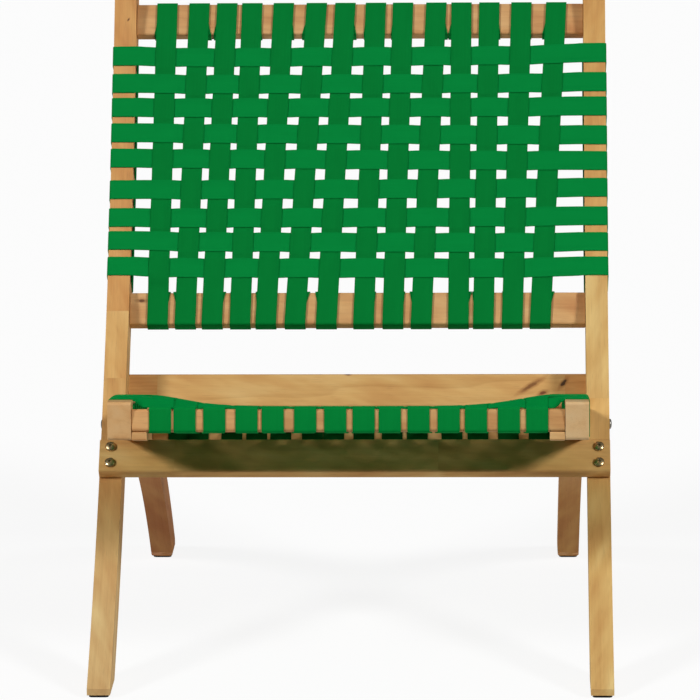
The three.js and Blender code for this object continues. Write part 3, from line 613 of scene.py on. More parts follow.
def webbing_group():
    """Flat woven polyester: yarns along the strap, crossed by fine picks, with a thicker selvedge, and its
    tucked tail darkened as painted shade.
    """
    tree, given, result = new_group(
        "Webbing weave", {"Strap": "Vector", "Yarn": "Color", "Shade": "Color", "Tail Painted Shade": "Color"}, SURFACE
    )
    across, along, _ = split(tree, given["Strap"])
    yarns = calculate(tree, "DIVIDE", calculate(tree, "PINGPONG", across, HALF_YARN), HALF_YARN)
    yarn_number = calculate(tree, "FLOOR", calculate(tree, "DIVIDE", across, 2 * HALF_YARN))
    lagging = calculate(tree, "ADD", along, calculate(tree, "MULTIPLY", yarn_number, HALF_PICK))
    picks = calculate(tree, "DIVIDE", calculate(tree, "PINGPONG", lagging, HALF_PICK), HALF_PICK)
    weave = calculate(
        tree, "MULTIPLY", ramp_between(tree, yarns, 0, YARN_EDGE), ramp_between(tree, picks, 0, PICK_EDGE)
    )
    edge = calculate(tree, "ABSOLUTE", calculate(tree, "SUBTRACT", across, WEBBING_WIDTH / 2))
    selvedge = ramp_between(tree, edge, WEBBING_WIDTH / 2 - SELVEDGE, WEBBING_WIDTH / 2 - SELVEDGE + MM)
    fuzz = noise(tree, given["Strap"], *FUZZ)
    share = calculate(tree, "MULTIPLY_ADD", weave, -WEAVE_WEIGHT, SHADE_SHARE)
    share = vary(tree, noise(tree, given["Strap"], *PATCHES), PATCH_WEIGHT, share)
    share = vary(tree, noise(tree, given["Strap"], *LINES), LINE_WEIGHT, share)
    share = calculate(tree, "MULTIPLY_ADD", selvedge, SELVEDGE_WEIGHT, share)
    share = vary(tree, fuzz, FUZZ_WEIGHT, share, clamp=True)
    colour = blend_colours(tree, share, given["Yarn"], given["Shade"])
    # The strap's first stretch, tucked under it on the rail's inner face, is darkened: painted shade.
    tail = ramp_between(tree, along, TAIL_END - TAIL_FADE, TAIL_END, 1, 0)
    tree.links.new(blend_colours(tree, tail, colour, given["Tail Painted Shade"], "MULTIPLY"), result["Color"])
    rough = calculate(tree, "MULTIPLY_ADD", fuzz, FUZZ_ROUGHNESS, WEBBING_ROUGHNESS)
    tree.links.new(rough, result["Roughness"])
    height = calculate(tree, "MULTIPLY_ADD", selvedge, SELVEDGE_RELIEF, weave)
    tree.links.new(calculate(tree, "MULTIPLY_ADD", fuzz, FUZZ_RELIEF, height), result["Height"])
    return tree


def wear_group():
    """Scuffs and fingermarks on metal and plastic: fine scratches over cloudy patches."""
    tree, given, result = new_group(
        "Scuffs", {"Place": "Vector", "Color": "Color", "Worn": "Color", "Base Roughness": "Float"}, SURFACE
    )
    scratches = noise(tree, given["Place"], *SCRATCHES)
    share = ramp_between(tree, noise(tree, given["Place"], *CLOUDS), *CLOUD_EDGE)
    tree.links.new(blend_colours(tree, share, given["Color"], given["Worn"]), result["Color"])
    rough = calculate(tree, "MULTIPLY_ADD", share, WORN_ROUGHNESS, given["Base Roughness"])
    tree.links.new(calculate(tree, "MULTIPLY_ADD", scratches, SCRATCH_ROUGHNESS, rough), result["Roughness"])
    tree.links.new(scratches, result["Height"])
    return tree


TIMBER = timber_group()
KNOT = knot_group()
WEAVE = webbing_group()
SCUFFS = wear_group()


# Materials

def new_material(name):
    material = bpy.data.materials.new(name)
    material.use_nodes = True
    tree = material.node_tree
    tree.nodes.clear()
    shader = tree.nodes.new("ShaderNodeBsdfPrincipled")
    output = tree.nodes.new("ShaderNodeOutputMaterial")
    tree.links.new(shader.outputs[0], output.inputs[0])
    return material, tree, shader


def place_group(tree, group, inputs):
    return node(tree, "ShaderNodeGroup", inputs, node_tree=group)


def dress(tree, shader, surface, relief):
    """Roughness and relief from a group's outputs into the shader."""
    height = surface.outputs["Height"]
    bump = node(tree, "ShaderNodeBump", {"Height": height, "Distance": relief, "Strength": BUMP_STRENGTH})
    tree.links.new(surface.outputs["Roughness"], shader.inputs["Roughness"])
    tree.links.new(bump.outputs[0], shader.inputs["Normal"])


def timber(
    name, colours, seed, pith, pitch, blocks=(), blush=0, knots=(), foot_shade=WHITE, rings=0.2, drift=0.24
):
    """Timber glued from blocks, each with its joint's place along the grain and its tone and blush."""
    material, tree, shader = new_material(name)
    grain = node(tree, "ShaderNodeAttribute", attribute_name="grain").outputs["Vector"]
    joints, tones, blushes = zip(*blocks, *(NO_JOINT,) * (3 - len(blocks)))
    wood = place_group(tree, TIMBER, {
        "Grain": grain, "Light": colours[0], "Dark": colours[1], "Pith": pith, "Ring Pitch": pitch,
        "Seed": seed, "Joints": joints, "Joint Tones": tones, "Blush": blush, "Joint Blushes": blushes,
        "Foot Shade": foot_shade, "Ring Weight": rings, "Drift": drift,
    })
    colour = wood.outputs["Color"]
    for place, radius, *shape in knots:
        stretch, slant, heart = shape or PLAIN_KNOT
        colour = place_group(tree, KNOT, {
            "Grain": grain, "Color": colour, "Place": place, "Radius": radius,
            "Stretch": stretch, "Slant": slant, "Heart": heart,
        }).outputs[0]
    tree.links.new(colour, shader.inputs["Base Color"])
    dress(tree, shader, wood, TIMBER_RELIEF)
    shader.inputs["Specular IOR Level"].default_value = TIMBER_SPECULAR
    return material


def webbing(name, yarn, shade, tail_painted_shade=WHITE):
    material, tree, shader = new_material(name)
    strap = node(tree, "ShaderNodeUVMap", uv_map="strap").outputs["UV"]
    weave = place_group(tree, WEAVE, {"Strap": strap, "Yarn": yarn, "Shade": shade, "Tail Painted Shade": tail_painted_shade})
    tree.links.new(weave.outputs["Color"], shader.inputs["Base Color"])
    dress(tree, shader, weave, WEBBING_RELIEF)
    for label, value in WEBBING_SHEEN.items():
        shader.inputs[label].default_value = value
    return material


def scuffed(name, colour, worn, metallic, roughness, relief):
    material, tree, shader = new_material(name)
    place = node(tree, "ShaderNodeTexCoord").outputs["Object"]
    marks = place_group(
        tree, SCUFFS, {"Place": place, "Color": colour, "Worn": worn, "Base Roughness": roughness}
    )
    tree.links.new(marks.outputs["Color"], shader.inputs["Base Color"])
    dress(tree, shader, marks, relief)
    shader.inputs["Metallic"].default_value = metallic
    return material


# All straps are one webbing; the back's long straps get a darker green than the rest: painted shade, standing
# in for how sheen and light fall on them by their direction.
long_webbing = {
    "back": webbing("green webbing, long straps of the back", (0.001, 0.21, 0.034, 1), (0, 0.14, 0.022, 1)),
    "seat": webbing(
        "green webbing, long straps of the seat", (0.001, 0.25, 0.042, 1), (0, 0.175, 0.03, 1), PAINTED_TAIL_SHADE
    ),
}
cross_webbing = webbing("green webbing, cross straps", (0.001, 0.255, 0.046, 1), (0, 0.18, 0.031, 1))
# The board bolts' brown stands in for warm wood reflected in plated steel: painted reflection. The cloudy
# patches and scratches are wear.
reflection_tinted_steel = scuffed("browned steel", (0.66, 0.51, 0.28, 1), (0.4, 0.29, 0.14, 1), 1, 0.2, STEEL_RELIEF)
plated_steel = scuffed("zinc plated steel", (0.6, 0.58, 0.53, 1), (0.42, 0.4, 0.35, 1), 1, 0.25, STEEL_RELIEF)
black_plastic = scuffed(
    "black plastic", (0.018, 0.018, 0.02, 1), (0.035, 0.034, 0.033, 1), 0, 0.45, PLASTIC_RELIEF
)


# Pieces

def place_object(name, data):
    """An object that shows the data, in the scene."""
    made = bpy.data.objects.new(name, data)
    bpy.context.scene.collection.objects.link(made)
    return made


def mesh_object(name, bm):
    """An object with the built shape as its mesh."""
    mesh = bpy.data.meshes.new(name)
    bm.to_mesh(mesh)
    bm.free()
    return place_object(name, mesh)


def shade_smooth(mesh):
    mesh.polygons.foreach_set("use_smooth", [True] * len(mesh.polygons))


def add_piece(name, bm, body, material, grain=None, cutters=()):
    """A closed shape as a piece of the chair, riding on its body in place of its CAD node."""
    bmesh.ops.recalc_face_normals(bm, faces=bm.faces)
    piece = mesh_object(name, bm)
    if cutters:
        cut(piece, cutters)
    mesh = piece.data
    shade_smooth(mesh)
    mesh.set_sharp_from_angle(angle=SHADING_TURN)
    if grain:
        attribute = mesh.attributes.new("grain", "FLOAT_VECTOR", "POINT")
        for vertex in mesh.vertices:
            attribute.data[vertex.index].vector = grain(vertex.co)
    mesh.materials.clear()
    mesh.materials.append(material)
    weighted = piece.modifiers.new("flat faces stay flat", "WEIGHTED_NORMAL")
    weighted.keep_sharp = True
    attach(piece, body)
    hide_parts(name)


def cut(piece, cutters):
    """Take the cutters' shapes out of the piece."""
    tools = []
    for bm in cutters:
        bmesh.ops.recalc_face_normals(bm, faces=bm.faces)
        tool = mesh_object("cutter", bm)
        boolean = piece.modifiers.new("cut", "BOOLEAN")
        boolean.operation = "DIFFERENCE"
        boolean.solver = "EXACT"
        boolean.object = tool
        tools.append(tool)
    evaluated = piece.evaluated_get(bpy.context.evaluated_depsgraph_get())
    whole = bpy.data.meshes.new_from_object(evaluated)
    piece.modifiers.clear()
    piece.data = whole
    for tool in tools:
        bpy.data.objects.remove(tool)


def round_edges(bm, edges, radius, segments):
    bmesh.ops.bevel(
        bm, geom=edges, offset=radius, offset_type="OFFSET", segments=segments, profile=0.5,
        affect="EDGES", material=-1, clamp_overlap=True,
    )


def round_sharp(bm, least, radius, segments, where=lambda edge: True):
    """Round the edges that turn by more than the least angle."""
    edges = [e for e in bm.edges if len(e.link_faces) == 2 and e.calc_face_angle(0) > least and where(e)]
    round_edges(bm, edges, radius, segments)


def slice_off(bm, place, normal):
    """Remove what lies behind a plane and close the cut."""
    bmesh.ops.bisect_plane(
        bm, geom=bm.verts[:] + bm.edges[:] + bm.faces[:], plane_co=place, plane_no=normal, clear_inner=True
    )
    bmesh.ops.holes_fill(bm, edges=[e for e in bm.edges if e.is_boundary], sides=0)


def runs_across(edge):
    way = edge.verts[1].co - edge.verts[0].co
    return abs(way.x) > ACROSS_SHARE * way.length


def bent_member(bend, thickness, depth, middle, reach, end_radius, tip):
    """A rectangle swept round the bend, cut level at the foot, with its tip cut off upright."""
    bm = bmesh.new()
    square = bmesh.ops.create_grid(bm, x_segments=1, y_segments=1, size=0.5)["verts"]
    start = min(bend.foot_angle(-depth / 2), bend.foot_angle(depth / 2)) - depth / bend.radius
    for vertex in square:
        vertex.co = bend.point(start, vertex.co.y * depth, middle + vertex.co.x * thickness)
    bmesh.ops.spin(
        bm, geom=bm.verts[:] + bm.edges[:] + bm.faces[:], cent=bend.centre, axis=(1, 0, 0),
        angle=bend.angle_at(reach) - start, steps=BEND_STEPS, use_duplicate=False,
    )
    slice_off(bm, (0, 0, FOOT_HEIGHT), (0, 0, 1))
    tip_outward = copysign(depth / 2, tip)
    tip_y = bend.point(bend.foot_angle(tip_outward), tip_outward).y
    slice_off(bm, (0, tip_y - tip * FOOT_TIP_CUT, 0), (0, -tip, 0))
    end_height = bend.at(reach, 0).z - depth
    sole = FOOT_HEIGHT + EASED_EDGE / 10
    low = FOOT_HEIGHT + FOOT_TIP_CUT
    round_sharp(
        bm, SQUARE_TURN, end_radius, END_STEPS, lambda e: runs_across(e) and e.verts[0].co.z > end_height
    )
    round_sharp(
        bm, SQUARE_TURN, FOOT_SIDE_RADIUS, EDGE_STEPS,
        lambda e: not runs_across(e) and max(v.co.z for v in e.verts) < sole,
    )
    round_sharp(
        bm, SLIGHT_TURN, FOOT_TIP_RADIUS, EDGE_STEPS, lambda e: runs_across(e) and e.verts[0].co.z < low
    )
    round_sharp(bm, CLEAR_TURN, EASED_EDGE, EDGE_STEPS)
    return bm


def cylinder(diameter, length, place, sides=ROUND_SIDES):
    """A round bar along its place's Z."""
    bm = bmesh.new()
    radius = diameter / 2
    bmesh.ops.create_cone(
        bm, cap_ends=True, segments=sides, radius1=radius, radius2=radius, depth=length, matrix=place
    )
    return bm


def along_x(x, turn=pi / 2):
    """A place on the pivots' axis whose Z runs along X."""
    return Matrix.Translation((x, PIVOT.y, PIVOT.z)) @ Matrix.Rotation(turn, 4, "Y")


def board_piece(name, size, edge, place, body, material, cutters=()):
    """A straight board along X with rounded long edges and slightly eased ends."""
    bm = bmesh.new()
    bmesh.ops.create_cube(bm, size=1)
    bmesh.ops.scale(bm, vec=size, verts=bm.verts)
    round_sharp(bm, SLIGHT_TURN, edge, BOARD_STEPS, runs_across)
    round_sharp(bm, CLEAR_TURN, EASED_EDGE / 2, FINE_STEPS)
    bmesh.ops.transform(bm, matrix=place, verts=bm.verts)
    back = place.inverted()
    add_piece(name, bm, body, material, grain=lambda point: back @ point, cutters=cutters)


stile_timber = {
    -1: timber(
        "timber, right stile", HONEY, 3.1, (0, 0.03, 0.32), 0.009,
        ((-0.06, 0.06, -0.5), (0.051, -0.18, 0.1), (0.145, 0.12, 0.6)), 0.4,
        (((0.54, -0.024, -0.2875), 0.0011, 0.6, 0.5, KNOT_HEART),),
        foot_shade=(1.03, 1.3, 1.75, 1), rings=0.12,
    ),
    1: timber(
        "timber, left stile", LEMON, 7.7, (0, 0.04, -0.27), 0.01, ((0.022, 0.1, -0.4), (0.205, 0.06, 0.65)),
        foot_shade=(1.02, 1.12, 1.3, 1), rings=0.12, drift=-0.24,
    ),
}
seat_timber = {
    -1: timber(
        "timber, right seat rail", ROSY, 12.4, (0, 0.06, 0.25), 0.008,
        ((-0.1, -0.25, -0.5), (0.14, 0, 0), (0.3, -0.05, -0.2)), 0.5,
        foot_shade=(0.74, 0.6, 0.46, 1), rings=0.1,
    ),
    1: timber(
        "timber, left seat rail", ROSY, 15.9, (0, 0.05, -0.24), 0.008,
        ((-0.1, -0.15, -0.3), (0.12, 0.05, 0), (0.3, -0.2, -0.7)), 0.3,
        foot_shade=(0.9, 0.82, 0.6, 1), rings=0.1, drift=-0.24,
    ),
}
for side_name, side in SIDES:
    stile_x = side * STILE_MIDDLE
    add_piece(
        f"stile_{side_name}",
        bent_member(
            stile_bend, STILE_THICKNESS, STILE_DEPTH, stile_x, STILE_ABOVE_PIVOT, STILE_END_RADIUS, -1
        ),
        "back_frame", stile_timber[side], grain=stile_bend.grain,
        cutters=[cylinder(PIVOT_HOLE, 2 * STILE_THICKNESS, along_x(stile_x))],
    )
    rail_x = side * SEAT_RAIL_MIDDLE
    recess_x = side * (SEAT_RAIL_INNER + PIVOT_NUT_RECESS - SEAT_RAIL_THICKNESS / 2)
    add_piece(
        f"seat_rail_{side_name}",
        bent_member(
            seat_bend, SEAT_RAIL_THICKNESS, SEAT_RAIL_HEIGHT, rail_x, SEAT_RAIL_AHEAD, SEAT_RAIL_END_RADIUS, 1
        ),
        "seat_frame", seat_timber[side], grain=seat_bend.grain,
        cutters=[
            cylinder(PIVOT_HOLE, 2 * SEAT_RAIL_THICKNESS, along_x(rail_x)),
            cylinder(PIVOT_NUT_RECESS_DIAMETER, SEAT_RAIL_THICKNESS, along_x(recess_x)),
        ],
    )

back_rail_size = (2 * (STILE_INNER - SEATED_GAP), BACK_RAIL_THICKNESS, BACK_RAIL_HEIGHT)
for name, distance, seed, blocks, knots in (
    # The bottom rail's last block, darker from 266.5 mm out to the left stile, is painted shadow of that
    # stile.
    ("back_bottom_rail", 0, 21.3, ((-0.09, -0.05, 0), (0.2665, 0.2, 0)), (((-0.2627, -0.008, 0.01), 0.0025),)),
    ("back_top_rail", back_chord.length, 25.8, ((-0.12, 0.05, 0), (0.16, -0.05, 0)), ()),
):
    board_piece(
        name, back_rail_size, BOARD_EDGE, in_side_view(back_chord.at(distance, 0), back_lean), "back_frame",
        timber(f"timber, {name}", ROSY, seed, (0, 0.03, 0.02), 0.008, blocks, knots=knots),
    )

cross_rail_size = (2 * (SEAT_RAIL_INNER - SEATED_GAP), CROSS_RAIL_DEPTH, CROSS_RAIL_HEIGHT)
for name, distance, seed in (("seat_rear_rail", 0, 31.2), ("seat_front_rail", seat_chord.length, 36.6)):
    board_piece(
        name, cross_rail_size, CROSS_RAIL_EDGE, in_side_view(seat_chord.at(distance, 0), seat_slope),
        "seat_frame", timber(
            f"timber, {name}", PALE, seed, (0, 0.02, 0.03), 0.007, ((-0.11, 0.02, -0.6), (0.14, 0, 0)), 0.75
        ),
    )

block_at = seat_chord.length + CROSS_RAIL_DEPTH / 2 - CORNER_BLOCK_SETBACK - CORNER_BLOCK_DEPTH / 2
block_height = -CROSS_RAIL_HEIGHT / 2 - SEATED_GAP - CORNER_BLOCK_HEIGHT / 2
for side_name, side in SIDES:
    block_x = side * (SEAT_RAIL_INNER - SEATED_GAP - CORNER_BLOCK_WIDTH / 2)
    board_piece(
        f"seat_corner_block_{side_name}", (CORNER_BLOCK_WIDTH, CORNER_BLOCK_DEPTH, CORNER_BLOCK_HEIGHT),
        CORNER_BLOCK_EDGE, in_side_view(seat_chord.at(block_at, block_height, block_x), seat_slope),
        "seat_frame",
        timber(f"timber, {side_name} corner block", PALE, 52.7 + side, (0, 0.03, 0.02), 0.005),
    )


def across_depth(side, along):
    """A place on a stile's centre line whose Z runs square to its front and rear faces."""
    return (
        Matrix.Translation((side * STILE_MIDDLE, 0, 0))
        @ in_side_view(stile_bend.at(along, 0), lean_at(along))
        @ Matrix.Rotation(-pi / 2, 4, "X")
    )


bolt_places = (("lower", -BOLT_SPACING / 2), ("upper", BOLT_SPACING / 2))
apron_timber = timber(
    "timber, front_apron", STRAW, 41.5, (0, 0.02, 0.04), 0.009, ((-0.215, -0.07, 0), (0.1, 0.04, 0))
)
# The rear board's two end blocks, darker and redder near each stile, are painted shadow of the stiles; the
# knots are the wood's own.
rear_board_timber = timber(
    "timber, rear_board", TAN, 47.9, (0, 0.012, 0.008), 0.005,
    ((-0.2435, -0.13, -0.6), (0.253, 0.2, 0.7)), 0.6,
    knots=(
        ((0.251, -0.008, 0.009), 0.0042, 0.9, 1, BLACK_HEART),
        ((0.2115, -0.008, 0.0055), 0.0036, 0.28, 0.66, STREAK_HEART),
        ((0.2255, -0.008, -0.005), 0.0032, 0.6, 0.3, RED_HEART),
        ((-0.011, -0.008, 0.0215), 0.0014),
    ),
    rings=0.34,
)
for name, along, outward, material in (
    ("front_apron", apron_at, -board_outward, apron_timber),
    ("rear_board", rear_board_at, board_outward, rear_board_timber),
):
    holes = [
        cylinder(BOLT_HOLE, 3 * STILE_DEPTH, across_depth(side, along + shift), HOLE_SIDES)
        for _, side in SIDES for _, shift in bolt_places
    ]
    board_piece(
        name, (CHAIR_WIDTH, BOARD_THICKNESS, BOARD_HEIGHT), BOARD_EDGE,
        in_side_view(stile_bend.at(along, outward), lean_at(along)), "back_frame", material, holes,
    )


def bolt(diameter, length, head_diameter, head_height):
    """A button-head bolt along +Z: the head's underside at the origin, a hexagon socket in its dome."""
    bm = bmesh.new()
    rim = head_height / 3
    dome = [
        (head_diameter / 2 * cos(radians(step)), rim + (head_height - rim) * sin(radians(step)))
        for step in range(0, DOME_END + 1, DOME_STEP)
    ]
    profile = [
        (0, -length), (diameter / 2 - EASED_EDGE / 3, -length), (diameter / 2, -length + EASED_EDGE / 3),
        (diameter / 2, 0), (head_diameter / 2 - rim / 3, 0), (head_diameter / 2, rim / 3),
        *dome, (0, head_height),
    ]
    points = [bm.verts.new((radius, 0, height)) for radius, height in profile]
    edges = [bm.edges.new(pair) for pair in zip(points, points[1:])]
    bmesh.ops.spin(
        bm, geom=points + edges, cent=(0, 0, 0), axis=(0, 0, 1), angle=2 * pi, steps=BOLT_SIDES,
        use_merge=True, use_duplicate=False,
    )
    bmesh.ops.remove_doubles(bm, verts=bm.verts, dist=MM / 100)
    top = Matrix.Translation((0, 0, head_height))
    return bm, cylinder(BOLT_SOCKET * HEXAGON_CORNERS, 2 * BOLT_SOCKET_DEPTH, top, HEXAGON_SIDES)


def bolt_piece(name, place, steel, *sizes):
    bm, socket = bolt(*sizes)
    for shape in (bm, socket):
        bmesh.ops.transform(shape, matrix=place, verts=shape.verts)
    add_piece(name, bm, "back_frame", steel, cutters=[socket])


board_face = STILE_DEPTH / 2 + 2 * SEATED_GAP + BOARD_THICKNESS
bolt_sizes = (BOLT_DIAMETER, BOLT_LENGTH, BOLT_HEAD_DIAMETER, BOLT_HEAD_HEIGHT)
nut_seat = SEAT_RAIL_INNER + PIVOT_NUT_RECESS - SEATED_GAP
pivot_bolt_length = HALF_WIDTH + SEATED_GAP - (nut_seat - PIVOT_NUT_HEIGHT - BOLT_STICK_OUT)
for side_name, side in SIDES:
    for level, shift in bolt_places:
        outwards = across_depth(side, apron_at + shift)
        front = outwards @ Matrix.Rotation(pi, 4, "X") @ Matrix.Translation((0, 0, board_face))
        bolt_piece(f"apron_bolt_{side_name}_{level}", front, reflection_tinted_steel, *bolt_sizes)
        rear = across_depth(side, rear_board_at + shift) @ Matrix.Translation((0, 0, board_face))
        bolt_piece(f"rear_board_bolt_{side_name}_{level}", rear, reflection_tinted_steel, *bolt_sizes)
    bolt_piece(
        f"pivot_bolt_{side_name}",
        along_x(side * (HALF_WIDTH + SEATED_GAP), side * pi / 2), plated_steel,
        PIVOT_BOLT_DIAMETER, pivot_bolt_length, PIVOT_HEAD_DIAMETER, PIVOT_HEAD_HEIGHT,
    )
    washer_x = side * (STILE_INNER - SIDE_GAP / 2)
    washer = cylinder(PIVOT_WASHER_DIAMETER, SIDE_GAP - 2 * SEATED_GAP, along_x(washer_x), WASHER_SIDES)
    round_sharp(washer, SQUARE_TURN, SEATED_GAP, FINE_STEPS)
    add_piece(
        f"pivot_washer_{side_name}", washer, "back_frame", plated_steel,
        cutters=[cylinder(PIVOT_HOLE, 2 * SIDE_GAP, along_x(washer_x))],
    )
    nut_x = side * (nut_seat - PIVOT_NUT_HEIGHT / 2)
    nut = cylinder(PIVOT_NUT_ACROSS_FLATS * HEXAGON_CORNERS, PIVOT_NUT_HEIGHT, along_x(nut_x), HEXAGON_SIDES)
    round_sharp(nut, NUT_TURN, SEATED_GAP, FINE_STEPS)
    add_piece(
        f"pivot_nut_{side_name}", nut, "back_frame", plated_steel,
        cutters=[cylinder(PIVOT_HOLE, 2 * PIVOT_NUT_HEIGHT, along_x(nut_x))],
    )


def glide(bend, depth, thickness, middle, tip):
    """A thin pad under a foot, as long as the foot's flat underside."""
    front, back = (
        bend.point(bend.foot_angle(end * depth / 2), end * depth / 2).y
        - end * (FOOT_TIP_CUT + FOOT_TIP_RADIUS if end == tip else FOOT_CORNER)
        for end in (-1, 1)
    )
    bm = bmesh.new()
    bmesh.ops.create_cube(bm, size=1)
    bmesh.ops.scale(bm, vec=(thickness - 2 * GLIDE_INSET, back - front, GLIDE_THICKNESS), verts=bm.verts)
    bmesh.ops.translate(bm, vec=(middle, (front + back) / 2, GLIDE_THICKNESS / 2), verts=bm.verts)
    upright = [e for e in bm.edges if abs(e.verts[0].co.z - e.verts[1].co.z) > GLIDE_THICKNESS / 2]
    round_edges(bm, upright, GLIDE_CORNER, END_STEPS)
    round_sharp(bm, SQUARE_TURN, GLIDE_THICKNESS / 5, FINE_STEPS)
    return bm


for side_name, side in SIDES:
    front = glide(stile_bend, STILE_DEPTH, STILE_THICKNESS, side * STILE_MIDDLE, -1)
    rear = glide(seat_bend, SEAT_RAIL_HEIGHT, SEAT_RAIL_THICKNESS, side * SEAT_RAIL_MIDDLE, 1)
    for name, bm, body in (("front", front, "back_frame"), ("rear", rear, "seat_frame")):
        add_piece(f"{name}_glide_{side_name}", bm, body, black_plastic)


# Straps

@dataclass
class Panel:
    """One woven panel: long straps between two cross rails, cross straps between two side members."""

    name: str
    body: str
    rails: tuple
    members: tuple
    chord: Chord
    bend: Bend
    rail_half: float
    rail_wide: float
    side_depth: float
    side_face: int
    side_tail: float
    clear: float
    outer: float
    first_shares: tuple
    last_shares: tuple
    rows: tuple
    first_at: float
    last_at: float
    first_over: int
    fade: float
    fade_power: float
    crown_share: float

    def __post_init__(self):
        self.rest = self.rail_half + STRAP_LIFT + STRAP_OVER_TAIL
        self.face_radius = self.bend.radius + self.side_face * self.side_depth / 2
        self.face_centre = self.chord.measure(self.bend.centre)

    def row_along(self, row, x):
        right, left = self.rows[row]
        return mix(self.first_at, self.last_at, mix(right, left, (x + self.outer) / (2 * self.outer)))

    def row_distance(self, row, x):
        on_face = self.bend.at(self.row_along(row, x), self.side_face * self.side_depth / 2)
        return self.chord.measure(on_face)[0]

    def strap_x(self, column, distance):
        share = mix(self.first_shares[column], self.last_shares[column], distance / self.chord.length)
        return self.clear * share

    def proud(self, distance):
        """How far the side members' faces lift a strap above the plane of the long straps."""
        away = distance - self.face_centre[0]
        face = self.face_centre[1] + self.side_face * sqrt(self.face_radius ** 2 - away ** 2)
        return face + STRAP_LIFT - self.rest

    def surface(self, x, distance):
        """Height of the woven surface: it rises to the side members and lies nearly flat further in."""
        inside = max(self.clear - abs(x), 0)
        ends = min(distance, self.chord.length - distance) - self.rail_wide / 2
        pinned = mix(1, smooth(ends / END_PIN), smooth(inside / SIDE_PIN))
        near = exp(-((inside / self.fade) ** self.fade_power))
        return self.rest + self.proud(distance) * mix(self.crown_share, 1, near) * pinned

    def over(self, row, column):
        """+1 where the cross strap lies on top of the long one, -1 where it lies beneath."""
        return 1 if (row + column + self.first_over) % 2 == 0 else -1

    def across_panel(self, row, x, offset):
        distance = self.row_distance(row, x)
        spread = [distance + column * WEBBING_WIDTH for column in COLUMNS]
        return [self.chord.at(there, self.surface(x, there) + offset, x) for there in spread]

    def round_side(self, row, x, height):
        along, outward = self.row_along(row, x), self.side_face * height
        return [self.bend.at(along + column * WEBBING_WIDTH, outward, x) for column in COLUMNS]

    def along_panel(self, column, distance, offset):
        x = self.strap_x(column, distance)
        spread = [x + share * WEBBING_WIDTH for share in COLUMNS]
        return [self.chord.at(distance, self.surface(there, distance) + offset, there) for there in spread]

    def round_rail(self, column, distance, height, shift=0):
        x = self.strap_x(column, distance) + shift
        return [self.chord.at(distance, height, x + share * WEBBING_WIDTH) for share in COLUMNS]


back_panel = Panel(
    name="back", body="back_frame", rails=("back_bottom_rail", "back_top_rail"),
    members=("stile_right", "stile_left"), chord=back_chord, bend=stile_bend,
    rail_half=BACK_RAIL_THICKNESS / 2, rail_wide=BACK_RAIL_HEIGHT, side_depth=STILE_DEPTH, side_face=-1,
    side_tail=BACK_SIDE_TAIL, clear=STILE_INNER, outer=HALF_WIDTH, first_shares=BACK_STRAP_BOTTOM_SHARES,
    last_shares=BACK_STRAP_TOP_SHARES, rows=BACK_CROSS_SHARES, first_at=BACK_BOTTOM_RAIL_AT,
    last_at=BACK_TOP_RAIL_AT, first_over=1, fade=BACK_FADE, fade_power=BACK_FADE_POWER,
    crown_share=BACK_CROWN_SHARE,
)
seat_panel = Panel(
    name="seat", body="seat_frame", rails=("seat_rear_rail", "seat_front_rail"),
    members=("seat_rail_right", "seat_rail_left"), chord=seat_chord, bend=seat_bend,
    rail_half=CROSS_RAIL_HEIGHT / 2, rail_wide=CROSS_RAIL_DEPTH, side_depth=SEAT_RAIL_HEIGHT, side_face=1,
    side_tail=SEAT_SIDE_TAIL, clear=SEAT_RAIL_INNER, outer=SEAT_RAIL_OUTER,
    first_shares=SEAT_STRAP_REAR_SHARES, last_shares=SEAT_STRAP_FRONT_SHARES, rows=SEAT_CROSS_SHARES,
    first_at=0, last_at=SEAT_RAIL_AHEAD, first_over=0, fade=SEAT_FADE, fade_power=SEAT_FADE_POWER,
    crown_share=SEAT_CROWN_SHARE,
)


def weave(crossings, start, end):
    """Places and offsets along a strap: level over each crossing, passing smoothly from one to the next."""
    spots = []
    marks = [(start, 0, 0)]
    for index, (place, offset) in enumerate(crossings):
        nearby = [other for other, _ in crossings[max(index - 1, 0):index + 2]]
        gaps = [abs(place - other) / 2 for other in nearby if other != place]
        reach = min([WEBBING_WIDTH / 2 + WEAVE_MARGIN] + [gap - WEAVE_MARGIN for gap in gaps])
        marks.append((place, offset, reach))
    marks.append((end, 0, 0))
    for (here, offset, reach), (there, next_offset, next_reach) in zip(marks, marks[1:]):
        if reach:
            for step in range(-LEVEL_STEPS, LEVEL_STEPS + 1):
                spots.append((here + reach * step / LEVEL_STEPS, offset))
        leave, arrive = here + reach, there - next_reach
        for step in range(1, RISE_STEPS):
            share = step / RISE_STEPS
            spots.append((mix(leave, arrive, share), mix(offset, next_offset, smooth(share))))
    return spots


def long_strap(panel, column):
    """A strap that starts under itself on one cross rail, goes round it, up the panel and round the other."""
    length = panel.chord.length
    half = panel.rail_wide / 2
    out = half + STRAP_LIFT
    far = -panel.rail_half - STRAP_LIFT
    under = panel.rail_half + STRAP_LIFT
    slant = TAIL_SLANT * sin(TAIL_SLANT_TURN * (column + 1))
    crossings = []
    for row in range(len(panel.rows)):
        distance = panel.row_distance(row, panel.strap_x(column, length / 2))
        crossings.append((distance, -panel.over(row, column) * WEAVE_OFFSET))
    start = [
        panel.round_rail(column, half - TAIL_UNDER, under), panel.round_rail(column, out, under, slant),
        panel.round_rail(column, out, far, slant), panel.round_rail(column, -out, far),
        panel.round_rail(column, -out, panel.rest),
    ]
    end = [
        panel.round_rail(column, length + out, panel.rest), panel.round_rail(column, length + out, far),
        panel.round_rail(column, length - out, far, -slant),
        panel.round_rail(column, length - out, under, -slant),
        panel.round_rail(column, length - half + TAIL_UNDER, under),
    ]
    middle = [panel.along_panel(column, *spot) for spot in weave(crossings, half, length - half)]
    return soften(start + middle + end)


